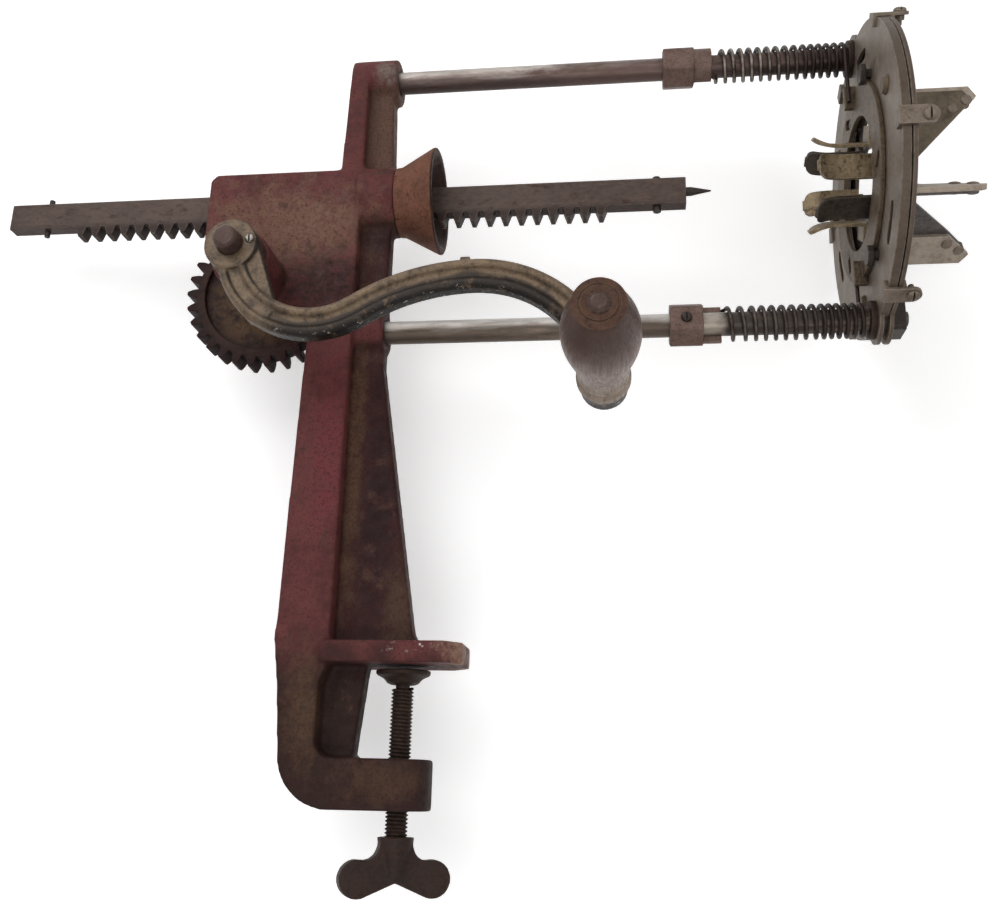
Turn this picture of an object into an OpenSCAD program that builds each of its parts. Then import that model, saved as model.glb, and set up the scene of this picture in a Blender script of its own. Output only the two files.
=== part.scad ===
// Hand-cranked corn cutter that clamps to a table edge, in millimetres.
// The origin is on the clamp screw's axis at the face that rests on the table top.
// +Z is up, +X runs along the rack towards the cutting head, and the crank is on the -Y side.

/* [Stance] */
// Height of the rack above the table top
rack_h = 263; // [240:1:290]
// Distance of the crank shaft behind the clamp screw
shaft_back = 89; // [84:0.5:96]
// Distance of the head's front plate ahead of the clamp screw
head_ahead = 242.5; // [225:0.5:260]

/* [Guide rods] */
// Diameter of the two guide rods
rod_d = 12.7; // [11:0.1:14]
// Distance between the rod axes
rod_spacing = 162; // [154:1:172]
// Diameter of the threaded rod ends
rod_end_d = 8; // [7:0.1:9]
// Depth of the rods in the frame's bosses
rod_socket = 23; // [16:1:25]
// Thickness of the square nuts on the rod ends
rod_nut_t = 7; // [5:0.5:9]
// Width of the square nuts on the rod ends
rod_nut_w = 17; // [14:0.5:19]

/* [Frame casting] */
// Half depth of the post's flange at its top
flange_half_top = 14; // [13:0.5:16]
// Half depth of the post's flange at the table
flange_half_low = 18.5; // [17:0.5:22]
// Width of the flange beside the upper rod
flange_w_top = 11; // [9:0.5:14]
// Width of the flange above the table
flange_w_low = 28; // [24:0.5:32]
// Distance of the flange's front edge behind the clamp screw
flange_back = 34.5; // [32:0.5:38]
// Thickness of the web in front of the flange
web_t = 12; // [9:0.5:14]
// Distance from the rods' boss faces to the clamp screw
boss_back = 18.5; // [17:0.5:22]
// Radius of the bosses that hold the rods
boss_r = 13.5; // [12:0.5:15]
// Half depth of the gear housing
housing_half = 16; // [15:0.5:19]
// Wall of the housing over the rack
housing_roof = 7; // [5:0.5:10]
// Length of the housing behind the crank shaft
housing_behind = 34.5; // [30:0.5:37]
// Radius of the crank shaft's bearing boss
bearing_r = 16; // [13:0.5:18]
// Length of the bearing boss in front of the housing
bearing_l = 29.7; // [24:0.1:34]
// Radius of the neck that carries the funnel
neck_r = 19.7; // [18.5:0.1:22]

/* [Table clamp] */
// Thickness of the plate that rests on the table
plate_t = 10.5; // [8:0.5:14]
// Half width of the table plate
plate_half = 21; // [20:0.5:26]
// Reach of the table plate ahead of the clamp screw
plate_reach = 31.5; // [28:0.5:38]
// Opening between the table plate and the clamp arm
clamp_gap = 45; // [40:0.5:55]
// Height of the clamp arm
clamp_arm_t = 24; // [20:0.5:30]
// Radius of the clamp arm's round end
clamp_end_r = 16.5; // [15:0.5:18]
// Diameter of the clamp screw
clamp_screw_d = 11.1; // [9.5:0.1:12.7]
// Gap left between the pad and the table plate
pad_open = 2.3; // [2.1:0.1:6]
// Radius of the swivel pad
pad_r = 13.7; // [12:0.1:15]
// Height of the pad with its socket
pad_h = 7; // [6.5:0.1:9]
// Free length of screw under the clamp arm
screw_under = 12; // [10:0.5:20]
// Span of the wing over both lobes
wing_span = 54; // [48:1:64]
// Thickness of the wing's lobes
wing_t = 8; // [6:0.5:10]

/* [Rack] */
// Circular pitch of the rack and the gear
tooth_pitch = 9; // [8.6:0.05:9.4]
// Teeth behind the crank shaft at rest
teeth_behind = 13; // [8:1:13]
// Teeth ahead of the crank shaft at rest
teeth_ahead = 21; // [14:1:21]
// Thickness of the rack bar
rack_t = 8; // [7:0.1:9]
// Height of the rack bar above its teeth
rack_bar_h = 16; // [14:0.5:18]
// Length of the rack bar behind the crank shaft
rack_behind = 162; // [150:1:170]
// Length of the rack bar ahead of the crank shaft
rack_ahead = 236; // [228:1:240]
// Distance of the rear stop pin from the rack's rear end
rear_pin_in = 22; // [15:0.5:26]
// Distance of the front stop pin from the rack's front end
front_pin_in = 16; // [10:0.5:22]
// Diameter of the rear stop pin
rear_pin_d = 3.2; // [2.5:0.1:4]
// Diameter of the front stop pin
front_pin_d = 4.6; // [3:0.1:5.5]
// Length of the ear spike
spike_l = 14; // [10:0.5:16]
// Diameter of the ear spike at its root
spike_d = 5; // [4:0.1:6]

/* [Gear and crank] */
// Teeth on the drive gear
gear_teeth = 30; // [28:1:31]
// Width of the gear's face
gear_face = 11; // [9:0.5:12]
// Diameter of the crank shaft
shaft_d = 12.7; // [11:0.1:14]
// Radius of the crank's hub
crank_hub_r = 14; // [13:0.5:17]
// Length of the crank's hub
crank_hub_l = 15; // [12:0.5:18]
// Shaft end that stands out of the crank's hub
shaft_out = 9; // [5:0.5:12]
// Radius of the crank arm's lower bend
bend_low_r = 44; // [40:0.5:48]
// Distance from the shaft to the crest of the arm
crest_ahead = 127.5; // [122:0.5:134]
// Drop from the shaft to the crest of the arm
crest_drop = 20; // [18:0.5:24]
// Radius of the arm's bend down to the handle
bend_end_r = 63.7; // [58:0.1:68]
// Width of the crank arm
arm_w = 16; // [14:0.5:17.5]
// Thickness of the crank arm
arm_t = 11; // [9:0.5:12]
// Radius of the eye that holds the handle's spindle
eye_r = 11.5; // [10:0.5:13]
// Length of the wooden grip
grip_l = 82; // [74:1:96]
// Largest radius of the wooden grip
grip_r = 17.5; // [15.5:0.5:19]
// Diameter of the handle's spindle
spindle_d = 8; // [7:0.1:9]

/* [Funnel] */
// Radius of the funnel's mouth
funnel_r = 30; // [27:0.5:34]
// Length of the funnel
funnel_l = 23.7; // [20:0.5:28]
// Wall of the funnel at its mouth
funnel_wall = 4; // [3:0.5:5]
// Distance of the funnel's seat behind the clamp screw
funnel_seat_back = 15.5; // [14:0.5:16.5]

/* [Springs and collars] */
// Width of the tension collars across their flats
collar_af = 21.5; // [20:0.5:24]
// Length of a collar's six-sided part
collar_l = 17.5; // [14:0.5:20]
// Length of a collar's claw
claw_l = 10; // [8:0.5:12]
// Distance from the boss faces to the collars
collar_ahead = 154.5; // [140:0.5:156]
// Diameter of the spring wire
wire_d = 2.2; // [1.8:0.1:2.6]
// Curls in each spring
spring_curls = 14; // [8:1:15]
// Gap between a spring and its rod
spring_gap = 0.4; // [0.3:0.05:0.6]
// Length of the spring's straight tail
tail_l = 34; // [30:0.5:38]

/* [Cutting head] */
// Outer radius of the head's plates
head_r = 85; // [82:0.5:92]
// Radius of the opening through the plates
head_open_r = 42; // [41.5:0.5:44]
// Thickness of each plate
head_plate_t = 2.2; // [1.8:0.1:2.8]
// Radius of the ears that the rods hold
ear_r = 13; // [11.5:0.5:15]
// Thickness of a jaw
jaw_t = 2.2; // [1.6:0.1:2.8]
// Radius of the ring of guide fingers
finger_r = 20; // [18:0.5:21]
// Width of a guide finger
finger_w = 13.8; // [11:0.1:14.4]
// Thickness of a guide finger
finger_t = 2; // [1.5:0.1:2.4]
// Reach of the guide fingers in front of the head
finger_l = 27; // [24:0.5:32]
// Turn of the jaws from closed to open, in degrees
jaw_turn = 8; // [5:0.5:8]
// Turn of the cam ring while the jaws open, in degrees
ring_turn = 10; // [8:0.5:12]
// Radius of the jaw pivots about the head's axis
pivot_r = 66; // [64:0.5:68]
// Diameter of the jaw pivot pins
pivot_d = 6; // [5:0.1:7]
// Diameter of the cam pins
cam_pin_d = 5; // [4:0.1:5.6]
// Thickness of the cam ring
ring_t = 2.4; // [2:0.1:3]
// Reach of the knife arms behind the head
knife_reach = 63; // [56:0.5:70]
// Outer radius of the knife arms
knife_r = 55; // [52:0.5:58]
// Radius at which the knives meet the cob
cob_r = 11; // [10.5:0.1:14]
// Thickness of the knife arms
strap_t = 3; // [2.4:0.1:3.6]
// Thickness of the knives
blade_t = 1.6; // [1.2:0.1:2]

/* [Hidden] */
$fn = 48;
// radial clearance of a running fit, and the gap between pieces that move past each other
run_gap = 0.06;
move_gap = 0.3;
// overlap that makes a cut go clean through a face, and one that joins the lengths of one piece
cut = 1;
lap = 0.5;

// teeth
pressure = 20;
tooth_module = tooth_pitch / PI;
addendum = 0.95 * tooth_module;
dedendum = 1.2 * tooth_module;
backlash = 0.5;
gear_pitch_r = gear_teeth * tooth_pitch / (2 * PI);
gear_tip_r = gear_pitch_r + addendum;
gear_root_r = gear_pitch_r - dedendum;
rack_root = -rack_bar_h / 2 - 1;
rack_top = rack_root + rack_bar_h;
rack_pitch_z = rack_root - dedendum;
rack_tip = rack_pitch_z - addendum;
shaft_x = -shaft_back;
shaft_z = rack_h + rack_pitch_z - gear_pitch_r;

// crank: three arcs, each starting where the last one ends
bend_mid_r = (pow(crest_ahead - bend_low_r, 2) + pow(crest_drop, 2) - pow(bend_low_r, 2))
    / (2 * (bend_low_r - crest_drop));
mid_centre = [crest_ahead, -crest_drop - bend_mid_r];
end_centre = [crest_ahead, -crest_drop - bend_end_r];
swap_angle = atan2(-mid_centre[1], mid_centre[0] - bend_low_r);
end_angle = 4;
// the middle bend is a hair slimmer and ends inside its neighbours
mid_lap = 0.4;
eye_at = end_centre + bend_end_r * [cos(end_angle), sin(end_angle)];
hub_back_y = -housing_half - bearing_l - move_gap;
hub_front_y = hub_back_y - crank_hub_l;
arm_y = hub_back_y - crank_hub_l / 2 - 1;
arm_front_y = arm_y - arm_t / 2;
grip_base_y = arm_front_y - move_gap;
grip_end_y = grip_base_y - grip_l;
waist_r = 11.6;
bead_r = 13;
waist_s = 14;
handle_washer_t = 1.6;
eye_x = shaft_x + eye_at[0];
eye_z = shaft_z + eye_at[1];

// frame
lower_rod_z = rack_h - rod_spacing / 2;
upper_rod_z = rack_h + rod_spacing / 2;
flange_x = -flange_back;
boss_x = -boss_back;
funnel_x = -funnel_seat_back;
gear_slot_r = gear_tip_r + 2.5;
gear_slot_half = gear_face / 2 + 1;
housing_x = shaft_x - housing_behind;
clamp_top = -clamp_gap;
clamp_low = -clamp_gap - clamp_arm_t;
clamp_corner_r = 26;
spine_back = flange_x - flange_w_low + 3;
spine_low = spine_back + 3;
spine_front = spine_back + 21;
arm_root = spine_low + clamp_corner_r + 2;
neck_screw_z = rack_h + 32;
neck_screw_d = 4;
neck_screw_l = 5;
neck_screw_x = flange_x - flange_w_top - 0.12
    - 2 * (upper_rod_z - neck_screw_z) / (upper_rod_z - rack_h - rack_top);
web_up_x = boss_x - 3;
web_low_x = 4.5;

// clamp screw
pad_top = -pad_open;
pad_roof = 3;
screw_neck_d = 7;
wing_top = clamp_low - screw_under;
wing_hub_h = 20.5;
wing_hub_r = 9;
screw_in_wing = 14;

// head, measured from the front plate's front face
head_x = head_ahead;
jaw_x0 = head_plate_t + move_gap;
rear_x0 = jaw_x0 + jaw_t + move_gap;
head_t = rear_x0 + head_plate_t;
washer_t = 3.2;
washer_r = 10.2;
rod_shoulder_x = head_x - washer_t;
rod_end_out = 2.5;
ring_x0 = -move_gap - ring_t;
jaw_angles = [95, 215, 335];
finger_spread = 30;
pivot_lag = 50;
cam_lag = 12;
cam_r = 42;
shoe_half = 41;
shoe_w = 10.5;
ring_in = cam_r - cam_pin_d / 2 - 3.5;
pivot_at = pivot_r * [sin(pivot_lag), cos(pivot_lag)];
cam_at = cam_r * [sin(cam_lag), cos(cam_lag)];
cam_open = pivot_at + turn(cam_at - pivot_at, -jaw_turn);
slot_end = turn(cam_open, -ring_turn);
ring_out = norm(slot_end) + cam_pin_d / 2 + 3.5;
keeper_shank_r = 2.8;
keeper_head_r = 5.5;
keeper_at_r = ring_out + move_gap + keeper_shank_r;
keeper_turn = 35;
clip_w = 9;
clip_wall = 1.8;
clip_screw_d = 3.6;
tab_l = 7.8;
lip_w = 5;
spacer_r = 9;
kidney_r = 69;

// springs and collars
collar_x = boss_x + collar_ahead;
claw_x = collar_x + collar_l;
claw_r = collar_af / 2 - 0.5;
ring_sides = 6;
rings_per_curl = 8;
coil_r = (rod_d / 2 + spring_gap + wire_d / 2) / cos(180 / rings_per_curl);
spring_x0 = claw_x + claw_l + wire_d + move_gap;
tail_x = rod_shoulder_x - wire_d / 2 - 3 * move_gap;
spring_pitch = (tail_x - spring_x0) / (spring_curls + 0.75);
lug_t = 3;
lug_top_r = 58;

// a point turned about the origin in the head's own (tangent, radius) plane
function turn(p, a) = [p[0] * cos(a) - p[1] * sin(a), p[0] * sin(a) + p[1] * cos(a)];

// involute gear outline
function inv(a) = tan(a) * 180 / PI - a;
base_r = gear_pitch_r * cos(pressure);
half_tooth = 90 / gear_teeth - backlash / 4 / gear_pitch_r * 180 / PI;
function flank(r) = half_tooth + inv(pressure) - inv(acos(min(1, base_r / r)));
flank_steps = 4;
flank_rs = [for (i = [0:flank_steps]) base_r + (gear_tip_r - base_r) * i / flank_steps];
function tooth(a) = concat(
    [gear_root_r * [cos(a - flank(base_r)), sin(a - flank(base_r))]],
    [for (r = flank_rs) r * [cos(a - flank(r)), sin(a - flank(r))]],
    [for (i = [flank_steps:-1:0]) flank_rs[i] * [cos(a + flank(flank_rs[i])), sin(a + flank(flank_rs[i]))]],
    [gear_root_r * [cos(a + flank(base_r)), sin(a + flank(base_r))]]);
first_tooth = 90 + 180 / gear_teeth;
gear_outline = [for (k = [0:gear_teeth - 1]) each tooth(first_tooth + k * 360 / gear_teeth)];

// shapes that repeat
module along_x(x, y, z) {
    translate([x, y, z]) rotate([0, 90, 0]) children();
}

module along_y(x, y, z) {
    translate([x, y, z]) rotate([90, 0, 0]) children();
}

// an outline drawn in X and Z, made solid from -half to +half in Y
module upright(half) {
    rotate([90, 0, 0]) linear_extrude(2 * half, center = true) children();
}

// a long hole or arm with round ends, as one outline
arc_steps = 12;
function arc(centre, r, from, to) = [for (i = [0:arc_steps]) let (t = from + (to - from) * i / arc_steps)
    centre + r * [cos(t), sin(t)]];

module slot2d(a, b, r) {
    t = atan2(b[1] - a[1], b[0] - a[0]);
    polygon(concat(arc(b, r, t - 90, t + 90), arc(a, r, t + 90, t + 270)));
}

// the head's own frame: x ahead, y along the tangent, z out along the radius at this angle
module around(angle) {
    translate([head_x, 0, rack_h]) rotate([angle - 90, 0, 0]) children();
}

// an outline in the head's (tangent, radius) plane, made solid from x0 over a thickness
module disc_plate(x0, t) {
    translate([x0, 0, 0]) rotate([90, 0, 90]) linear_extrude(t) children();
}

// post: a flange with a web in front of it, both tapering to the top
module post_taper(low, high) {
    z0 = clamp_low - cut;
    z1 = upper_rod_z + boss_r;
    rotate([90, 0, 90]) linear_extrude(400, center = true)
        polygon([[-low, z0], [low, z0], [low, 0], [high, z1], [-high, z1], [-low, 0]]);
}

module flange2d() {
    polygon([[flange_x, upper_rod_z], [flange_x - flange_w_top, upper_rod_z],
        [flange_x - flange_w_top - 2, rack_h + rack_top],
        [flange_x - flange_w_low + 3, lower_rod_z - boss_r],
        [flange_x - flange_w_low, plate_t], [spine_back, -plate_t],
        each arc([spine_low, clamp_low] + clamp_corner_r * [1, 1], clamp_corner_r, 180, 270),
        [arm_root, clamp_low], [arm_root, clamp_top], [spine_front + 6, clamp_top],
        [spine_front + 2, clamp_top + 2], [spine_front, clamp_top + 6], [spine_front, -plate_t],
        [flange_x, 0]]);
}

module clamp_arm2d() {
    polygon([[arm_root - 6, -flange_half_low + 0.2], [arm_root, -flange_half_low + 0.2], [0, 1 - clamp_end_r],
        [0, clamp_end_r - 1], [arm_root, flange_half_low - 0.2], [arm_root - 6, flange_half_low - 0.2]]);
}

module web2d() {
    polygon([[flange_x - 1, upper_rod_z], [web_up_x, upper_rod_z], [boss_x, rack_h],
        [boss_x, lower_rod_z - boss_r - 8], [web_low_x, plate_t + 6], [web_low_x + 6, plate_t / 2],
        [flange_x - 1, plate_t / 2]]);
    polygon([[spine_back + 1, 1], [boss_x + 1, 1], [boss_x - 4, clamp_top - 1],
        [spine_back + 1, clamp_top - 1]]);
}

module housing2d() {
    roof = rack_h + rack_top + housing_roof;
    floor_z = rack_h + rack_tip - 12;
    polygon([[housing_x + 3, roof], [flange_x, roof], [flange_x, lower_rod_z],
        [flange_x - flange_w_low + 4, lower_rod_z], [shaft_x + bearing_r * 0.7, shaft_z - bearing_r * 0.75],
        [shaft_x - bearing_r * 0.8, shaft_z - bearing_r * 0.55], [housing_x, floor_z],
        [housing_x, roof - 3]]);
    translate([shaft_x, shaft_z]) circle(bearing_r);
}

module plate2d() {
    corner = 8;
    polygon([[flange_x - 4, -plate_half], [plate_reach - corner, -plate_half],
        [plate_reach, -plate_half + corner], [plate_reach, plate_half - corner],
        [plate_reach - corner, plate_half], [flange_x - 4, plate_half]]);
}

module rack_slot() {
    low = rack_h + rack_tip - move_gap;
    high = rack_h + rack_top + move_gap;
    width = rack_t + 2 * move_gap;
    translate([housing_x - cut, -width / 2, low]) cube([funnel_x - housing_x + funnel_l, width, high - low]);
}

module frame_casting() {
    color("#4a2526") difference() {
        union() {
            intersection() {
                upright(flange_half_low) flange2d();
                post_taper(flange_half_low, flange_half_top);
            }
            upright(web_t / 2) web2d();
            upright(housing_half) housing2d();
            linear_extrude(plate_t) plate2d();
            translate([0, 0, clamp_low]) linear_extrude(clamp_arm_t) clamp_arm2d();
            translate([0, 0, clamp_low]) cylinder(h = clamp_arm_t, r = clamp_end_r);
            for (z = [lower_rod_z, upper_rod_z])
                along_x(flange_x - flange_w_top, 0, z)
                    cylinder(h = boss_x - flange_x + flange_w_top, r = boss_r);
            along_x(flange_x - 2, 0, rack_h) cylinder(h = funnel_x - flange_x + 2, r = neck_r);
            along_y(shaft_x, -housing_half, shaft_z) cylinder(h = bearing_l, r = bearing_r);
        }
        rack_slot();
        along_y(shaft_x, gear_slot_half, shaft_z) cylinder(h = 2 * gear_slot_half, r = gear_slot_r);
        along_y(shaft_x, housing_half + cut, shaft_z)
            cylinder(h = 2 * housing_half + bearing_l + 2 * cut, d = shaft_d + 2 * run_gap);
        for (z = [lower_rod_z, upper_rod_z])
            along_x(boss_x - rod_socket, 0, z) cylinder(h = rod_socket + cut, d = rod_d);
        translate([0, 0, clamp_low - cut])
            cylinder(h = clamp_arm_t + 2 * cut, d = clamp_screw_d + 2 * run_gap);
        along_x(neck_screw_x - cut, 0, neck_screw_z) cylinder(h = neck_screw_l + cut, d = neck_screw_d);
    }
}

module neck_screw() {
    color("#3a2522") {
        along_x(neck_screw_x - 3, 0, neck_screw_z) cylinder(h = 3, r1 = 2.6, r2 = 3.6);
        along_x(neck_screw_x - lap, 0, neck_screw_z) cylinder(h = neck_screw_l + lap, d = neck_screw_d);
    }
}

module ear_funnel() {
    throat = rack_t * 1.5;
    color("#6b3a2a") difference() {
        along_x(funnel_x, 0, rack_h) rotate_extrude()
            polygon([[throat, 0], [neck_r, 0], [neck_r, 3], [funnel_r, funnel_l - 1.5], [funnel_r, funnel_l],
                [funnel_r - funnel_wall, funnel_l], [throat, 6]]);
        rack_slot();
    }
}

module guide_rod(z) {
    color("#8d8a84") union() {
        along_x(boss_x - rod_socket, 0, z)
            cylinder(h = rod_shoulder_x - boss_x + rod_socket, d = rod_d);
        along_x(rod_shoulder_x - lap, 0, z)
            cylinder(h = lap + washer_t + head_t + rod_nut_t + rod_end_out, d = rod_end_d);
    }
}

module upper_guide_rod() guide_rod(upper_rod_z);
module lower_guide_rod() guide_rod(lower_rod_z);

// six-sided collar whose claw hooks the spring; the lower one is turned half round
module collar(z, roll) {
    color("#5a4038") translate([collar_x, 0, z]) rotate([roll, 0, 0]) difference() {
        union() {
            rotate([0, 90, 0]) intersection() {
                cylinder(h = collar_l, d = collar_af / cos(30), $fn = 6);
                cylinder(h = collar_l, d = collar_af / cos(30) - 1);
            }
            intersection() {
                rotate([0, 90, 0]) cylinder(h = collar_l + claw_l, r = claw_r);
                translate([0, -claw_r - cut, -claw_r]) cube([collar_l + claw_l, claw_r + cut, 2 * claw_r]);
            }
        }
        translate([-cut, 0, 0]) rotate([0, 90, 0]) cylinder(h = collar_l + claw_l + 2 * cut, d = rod_d);
        translate([collar_l / 2, 0, 0]) rotate([-90, 0, 0]) cylinder(h = collar_af, d = 5);
    }
}

module upper_collar() collar(upper_rod_z, 0);
module lower_collar() collar(lower_rod_z, 180);

module collar_screws() {
    color("#4b3a34") for (end = [[upper_rod_z, 1], [lower_rod_z, -1]])
        translate([collar_x + collar_l / 2, end[1] * rod_d / 2, end[0]]) rotate([-90 * end[1], 0, 0])
            cylinder(h = collar_af / 2 - rod_d / 2 + 2, d = 5);
}

// torsion spring: one wire from the collar's claw, round the rod, to the tail on the cam ring
coil_rings = (spring_curls + 0.75) * rings_per_curl;
spring_start = -90;
function coil_angle(i) = spring_start + 360 * i / rings_per_curl;
function coil_point(i) = [spring_x0 + spring_pitch * i / rings_per_curl,
    coil_r * cos(coil_angle(i)), coil_r * sin(coil_angle(i))];
spring_path = concat(
    [[spring_x0 - wire_d * 1.1, 0, -coil_r], [spring_x0 - wire_d * 0.1, 0, -coil_r]],
    [for (i = [1:coil_rings]) coil_point(i)],
    [[tail_x, -coil_r, -tail_l * 0.3], [tail_x, -coil_r, -tail_l]]);
function unit(v) = v / norm(v);
function heading(i) = i == 0 ? unit(spring_path[1] - spring_path[0])
    : i == len(spring_path) - 1 ? unit(spring_path[i] - spring_path[i - 1])
    : unit(spring_path[i + 1] - spring_path[i - 1]);
function outward(i) = let (p = spring_path[i], r = [0, p[1], p[2]], h = heading(i)) unit(r - h * (r * h));
function wire_ring(i) = let (h = heading(i), u = outward(i), w = cross(h, u)) [for (k = [0:ring_sides - 1])
    spring_path[i] + wire_d / 2 * (u * cos(k * 360 / ring_sides) + w * sin(k * 360 / ring_sides))];
spring_points = [for (i = [0:len(spring_path) - 1]) each wire_ring(i)];
last_ring = (len(spring_path) - 1) * ring_sides;
spring_faces = concat(
    [for (i = [0:len(spring_path) - 2], k = [0:ring_sides - 1])
        let (a = i * ring_sides, n = (k + 1) % ring_sides)
        each [[a + k, a + n, a + ring_sides + k], [a + n, a + ring_sides + n, a + ring_sides + k]]],
    [for (k = [1:ring_sides - 2]) [0, k + 1, k]],
    [for (k = [1:ring_sides - 2]) [last_ring, last_ring + k, last_ring + k + 1]]);
// least gap of a spring to itself, over points at least half a curl apart
spring_self_gap = min([for (i = [0:len(spring_path) - 1], j = [i + 5:1:min(len(spring_path) - 1, i + 20)])
    norm(spring_path[i] - spring_path[j])]) - wire_d;
echo("least gap of a spring to itself, mm", spring_self_gap);

module torsion_spring(z, roll) {
    color("#2c2522") translate([0, 0, z]) rotate([roll, 0, 0]) polyhedron(spring_points, spring_faces);
}

module upper_spring() torsion_spring(upper_rod_z, 0);
module lower_spring() torsion_spring(lower_rod_z, 180);

module spring_washer(z) {
    color("#4a3428") along_x(rod_shoulder_x, 0, z) difference() {
        cylinder(h = washer_t, r = washer_r);
        translate([0, 0, -cut]) cylinder(h = washer_t + 2 * cut, d = rod_end_d);
    }
}

module upper_spring_washer() spring_washer(upper_rod_z);
module lower_spring_washer() spring_washer(lower_rod_z);

// head plates
module head_outline() {
    difference() {
        union() {
            circle(head_r, $fn = 120);
            for (side = [-1, 1]) translate([0, side * rod_spacing / 2]) circle(ear_r);
        }
        circle(head_open_r, $fn = 96);
        for (side = [-1, 1]) translate([0, side * rod_spacing / 2]) circle(d = rod_end_d);
        for (a = jaw_angles) rotate(a - 90) translate(pivot_at) circle(d = pivot_d);
    }
}

module kidney(r, half_angle, w) {
    lead = 90 - half_angle;
    lag = 90 + half_angle;
    polygon(concat(arc([0, 0], r + w / 2, lead, lag), arc(r * [cos(lag), sin(lag)], w / 2, lag, lag + 180),
        arc([0, 0], r - w / 2, lag, lead), arc(r * [cos(lead), sin(lead)], w / 2, lead + 180, lead + 360)));
}

module head_front_plate() {
    color("#8a7d6b") around(90) {
        disc_plate(0, head_plate_t) difference() {
            head_outline();
            for (a = jaw_angles) rotate(a - 90) {
                slot2d(cam_at, cam_open, cam_pin_d / 2 + 3.5);
                rotate(keeper_turn) translate([0, keeper_at_r]) circle(keeper_shank_r);
                rotate(12) kidney(kidney_r, 7, 6);
            }
        }
        disc_plate(head_plate_t, rear_x0 - head_plate_t - 0.8) difference() {
            circle(head_r, $fn = 120);
            circle(head_r - lip_w, $fn = 120);
            for (side = [-1, 1]) translate([0, side * rod_spacing / 2]) circle(spacer_r + move_gap);
        }
    }
}

module head_rear_plate() {
    color("#857966") around(90) disc_plate(rear_x0, head_plate_t) head_outline();
}

module plate_spacers() {
    color("#6f675c") for (z = [lower_rod_z, upper_rod_z])
        along_x(head_x + head_plate_t, 0, z) difference() {
            cylinder(h = rear_x0 - head_plate_t, r = spacer_r);
            translate([0, 0, -cut]) cylinder(h = rear_x0 + cut, d = rod_end_d);
        }
}

module rod_nut(z) {
    color("#5b544c") along_x(head_x + head_t, 0, z) difference() {
        intersection() {
            translate([-rod_nut_w / 2, -rod_nut_w / 2, 0]) cube([rod_nut_w, rod_nut_w, rod_nut_t]);
            cylinder(h = rod_nut_t, r = rod_nut_w * 0.64);
        }
        translate([0, 0, -cut]) cylinder(h = rod_nut_t + 2 * cut, d = rod_end_d);
    }
}

module upper_rod_nut() rod_nut(upper_rod_z);
module lower_rod_nut() rod_nut(lower_rod_z);

// rim clips: a strap bent over both plates, with a tab behind that its screw draws tight
module rim_clip() {
    top = head_r + clip_wall;
    tab_x = head_t + clip_wall + tab_l;
    difference() {
        translate([-clip_wall, -clip_w / 2, head_r - lip_w])
            cube([head_t + 2 * clip_wall, clip_w, lip_w + clip_wall]);
        translate([0, -clip_w, head_r - 2 * lip_w]) cube([head_t, 2 * clip_w, 2 * lip_w]);
    }
    difference() {
        translate([0, 0, head_r]) linear_extrude(clip_wall) {
            translate([head_t + lap, -clip_w / 2]) square([tab_x - head_t - lap - clip_w / 2, clip_w]);
            translate([tab_x - clip_w / 2, 0]) circle(d = clip_w);
        }
        translate([tab_x - clip_w / 2, 0, head_r - cut]) cylinder(h = top, d = clip_screw_d);
    }
}

module rim_clips() {
    color("#9a8b74") for (k = [0:5]) around(10 + 60 * k) rim_clip();
}

module rim_clip_screws() {
    x = head_t + clip_wall + tab_l - clip_w / 2;
    color("#54504a") for (k = [0:5]) around(10 + 60 * k) translate([x, 0, 0]) {
        translate([0, 0, head_r - 5]) cylinder(h = 5 + clip_wall, d = clip_screw_d);
        translate([0, 0, head_r + clip_wall]) cylinder(h = 2.2, d1 = 6.6, d2 = 5);
        translate([0, 0, head_r - 2.6]) cylinder(h = 2.6, d = 5.4, $fn = 6);
    }
}

module jaw_pivots() {
    color("#3c352f") for (a = jaw_angles) around(a)
        translate([0, pivot_at[0], pivot_at[1]]) rotate([0, 90, 0]) {
            translate([0, 0, -1.4]) cylinder(h = head_t + 2.8, d = pivot_d);
            translate([0, 0, -2.4]) cylinder(h = 2.4, r1 = pivot_d / 2 + 0.8, r2 = pivot_d / 2 + 2);
            translate([0, 0, head_t]) cylinder(h = 2.4, r1 = pivot_d / 2 + 2, r2 = pivot_d / 2 + 0.8);
        }
}

module ring_keepers() {
    under = ring_x0 - move_gap;
    color("#2f2a27") for (a = jaw_angles) around(a + keeper_turn)
        translate([0, 0, keeper_at_r]) rotate([0, 90, 0]) {
            translate([0, 0, under]) cylinder(h = head_plate_t - under, r = keeper_shank_r);
            translate([0, 0, under - 3]) cylinder(h = 3, r = keeper_head_r, $fn = 6);
        }
}

// cam ring with a slanted slot for each jaw and two lugs that the spring tails press
module cam_ring() {
    color("#4d463f") around(90) union() {
        disc_plate(ring_x0, ring_t) difference() {
            circle(ring_out, $fn = 96);
            circle(ring_in, $fn = 96);
            for (a = jaw_angles) rotate(a - 90) slot2d(cam_at, slot_end, cam_pin_d / 2 + move_gap);
        }
        for (side = [0, 180]) rotate([side, 0, 0])
            translate([tail_x - head_x - wire_d, -coil_r + wire_d / 2 + move_gap, ring_in + 8])
                cube([ring_x0 + ring_t - tail_x + head_x + wire_d, lug_t, lug_top_r - ring_in - 8]);
    }
}

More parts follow.
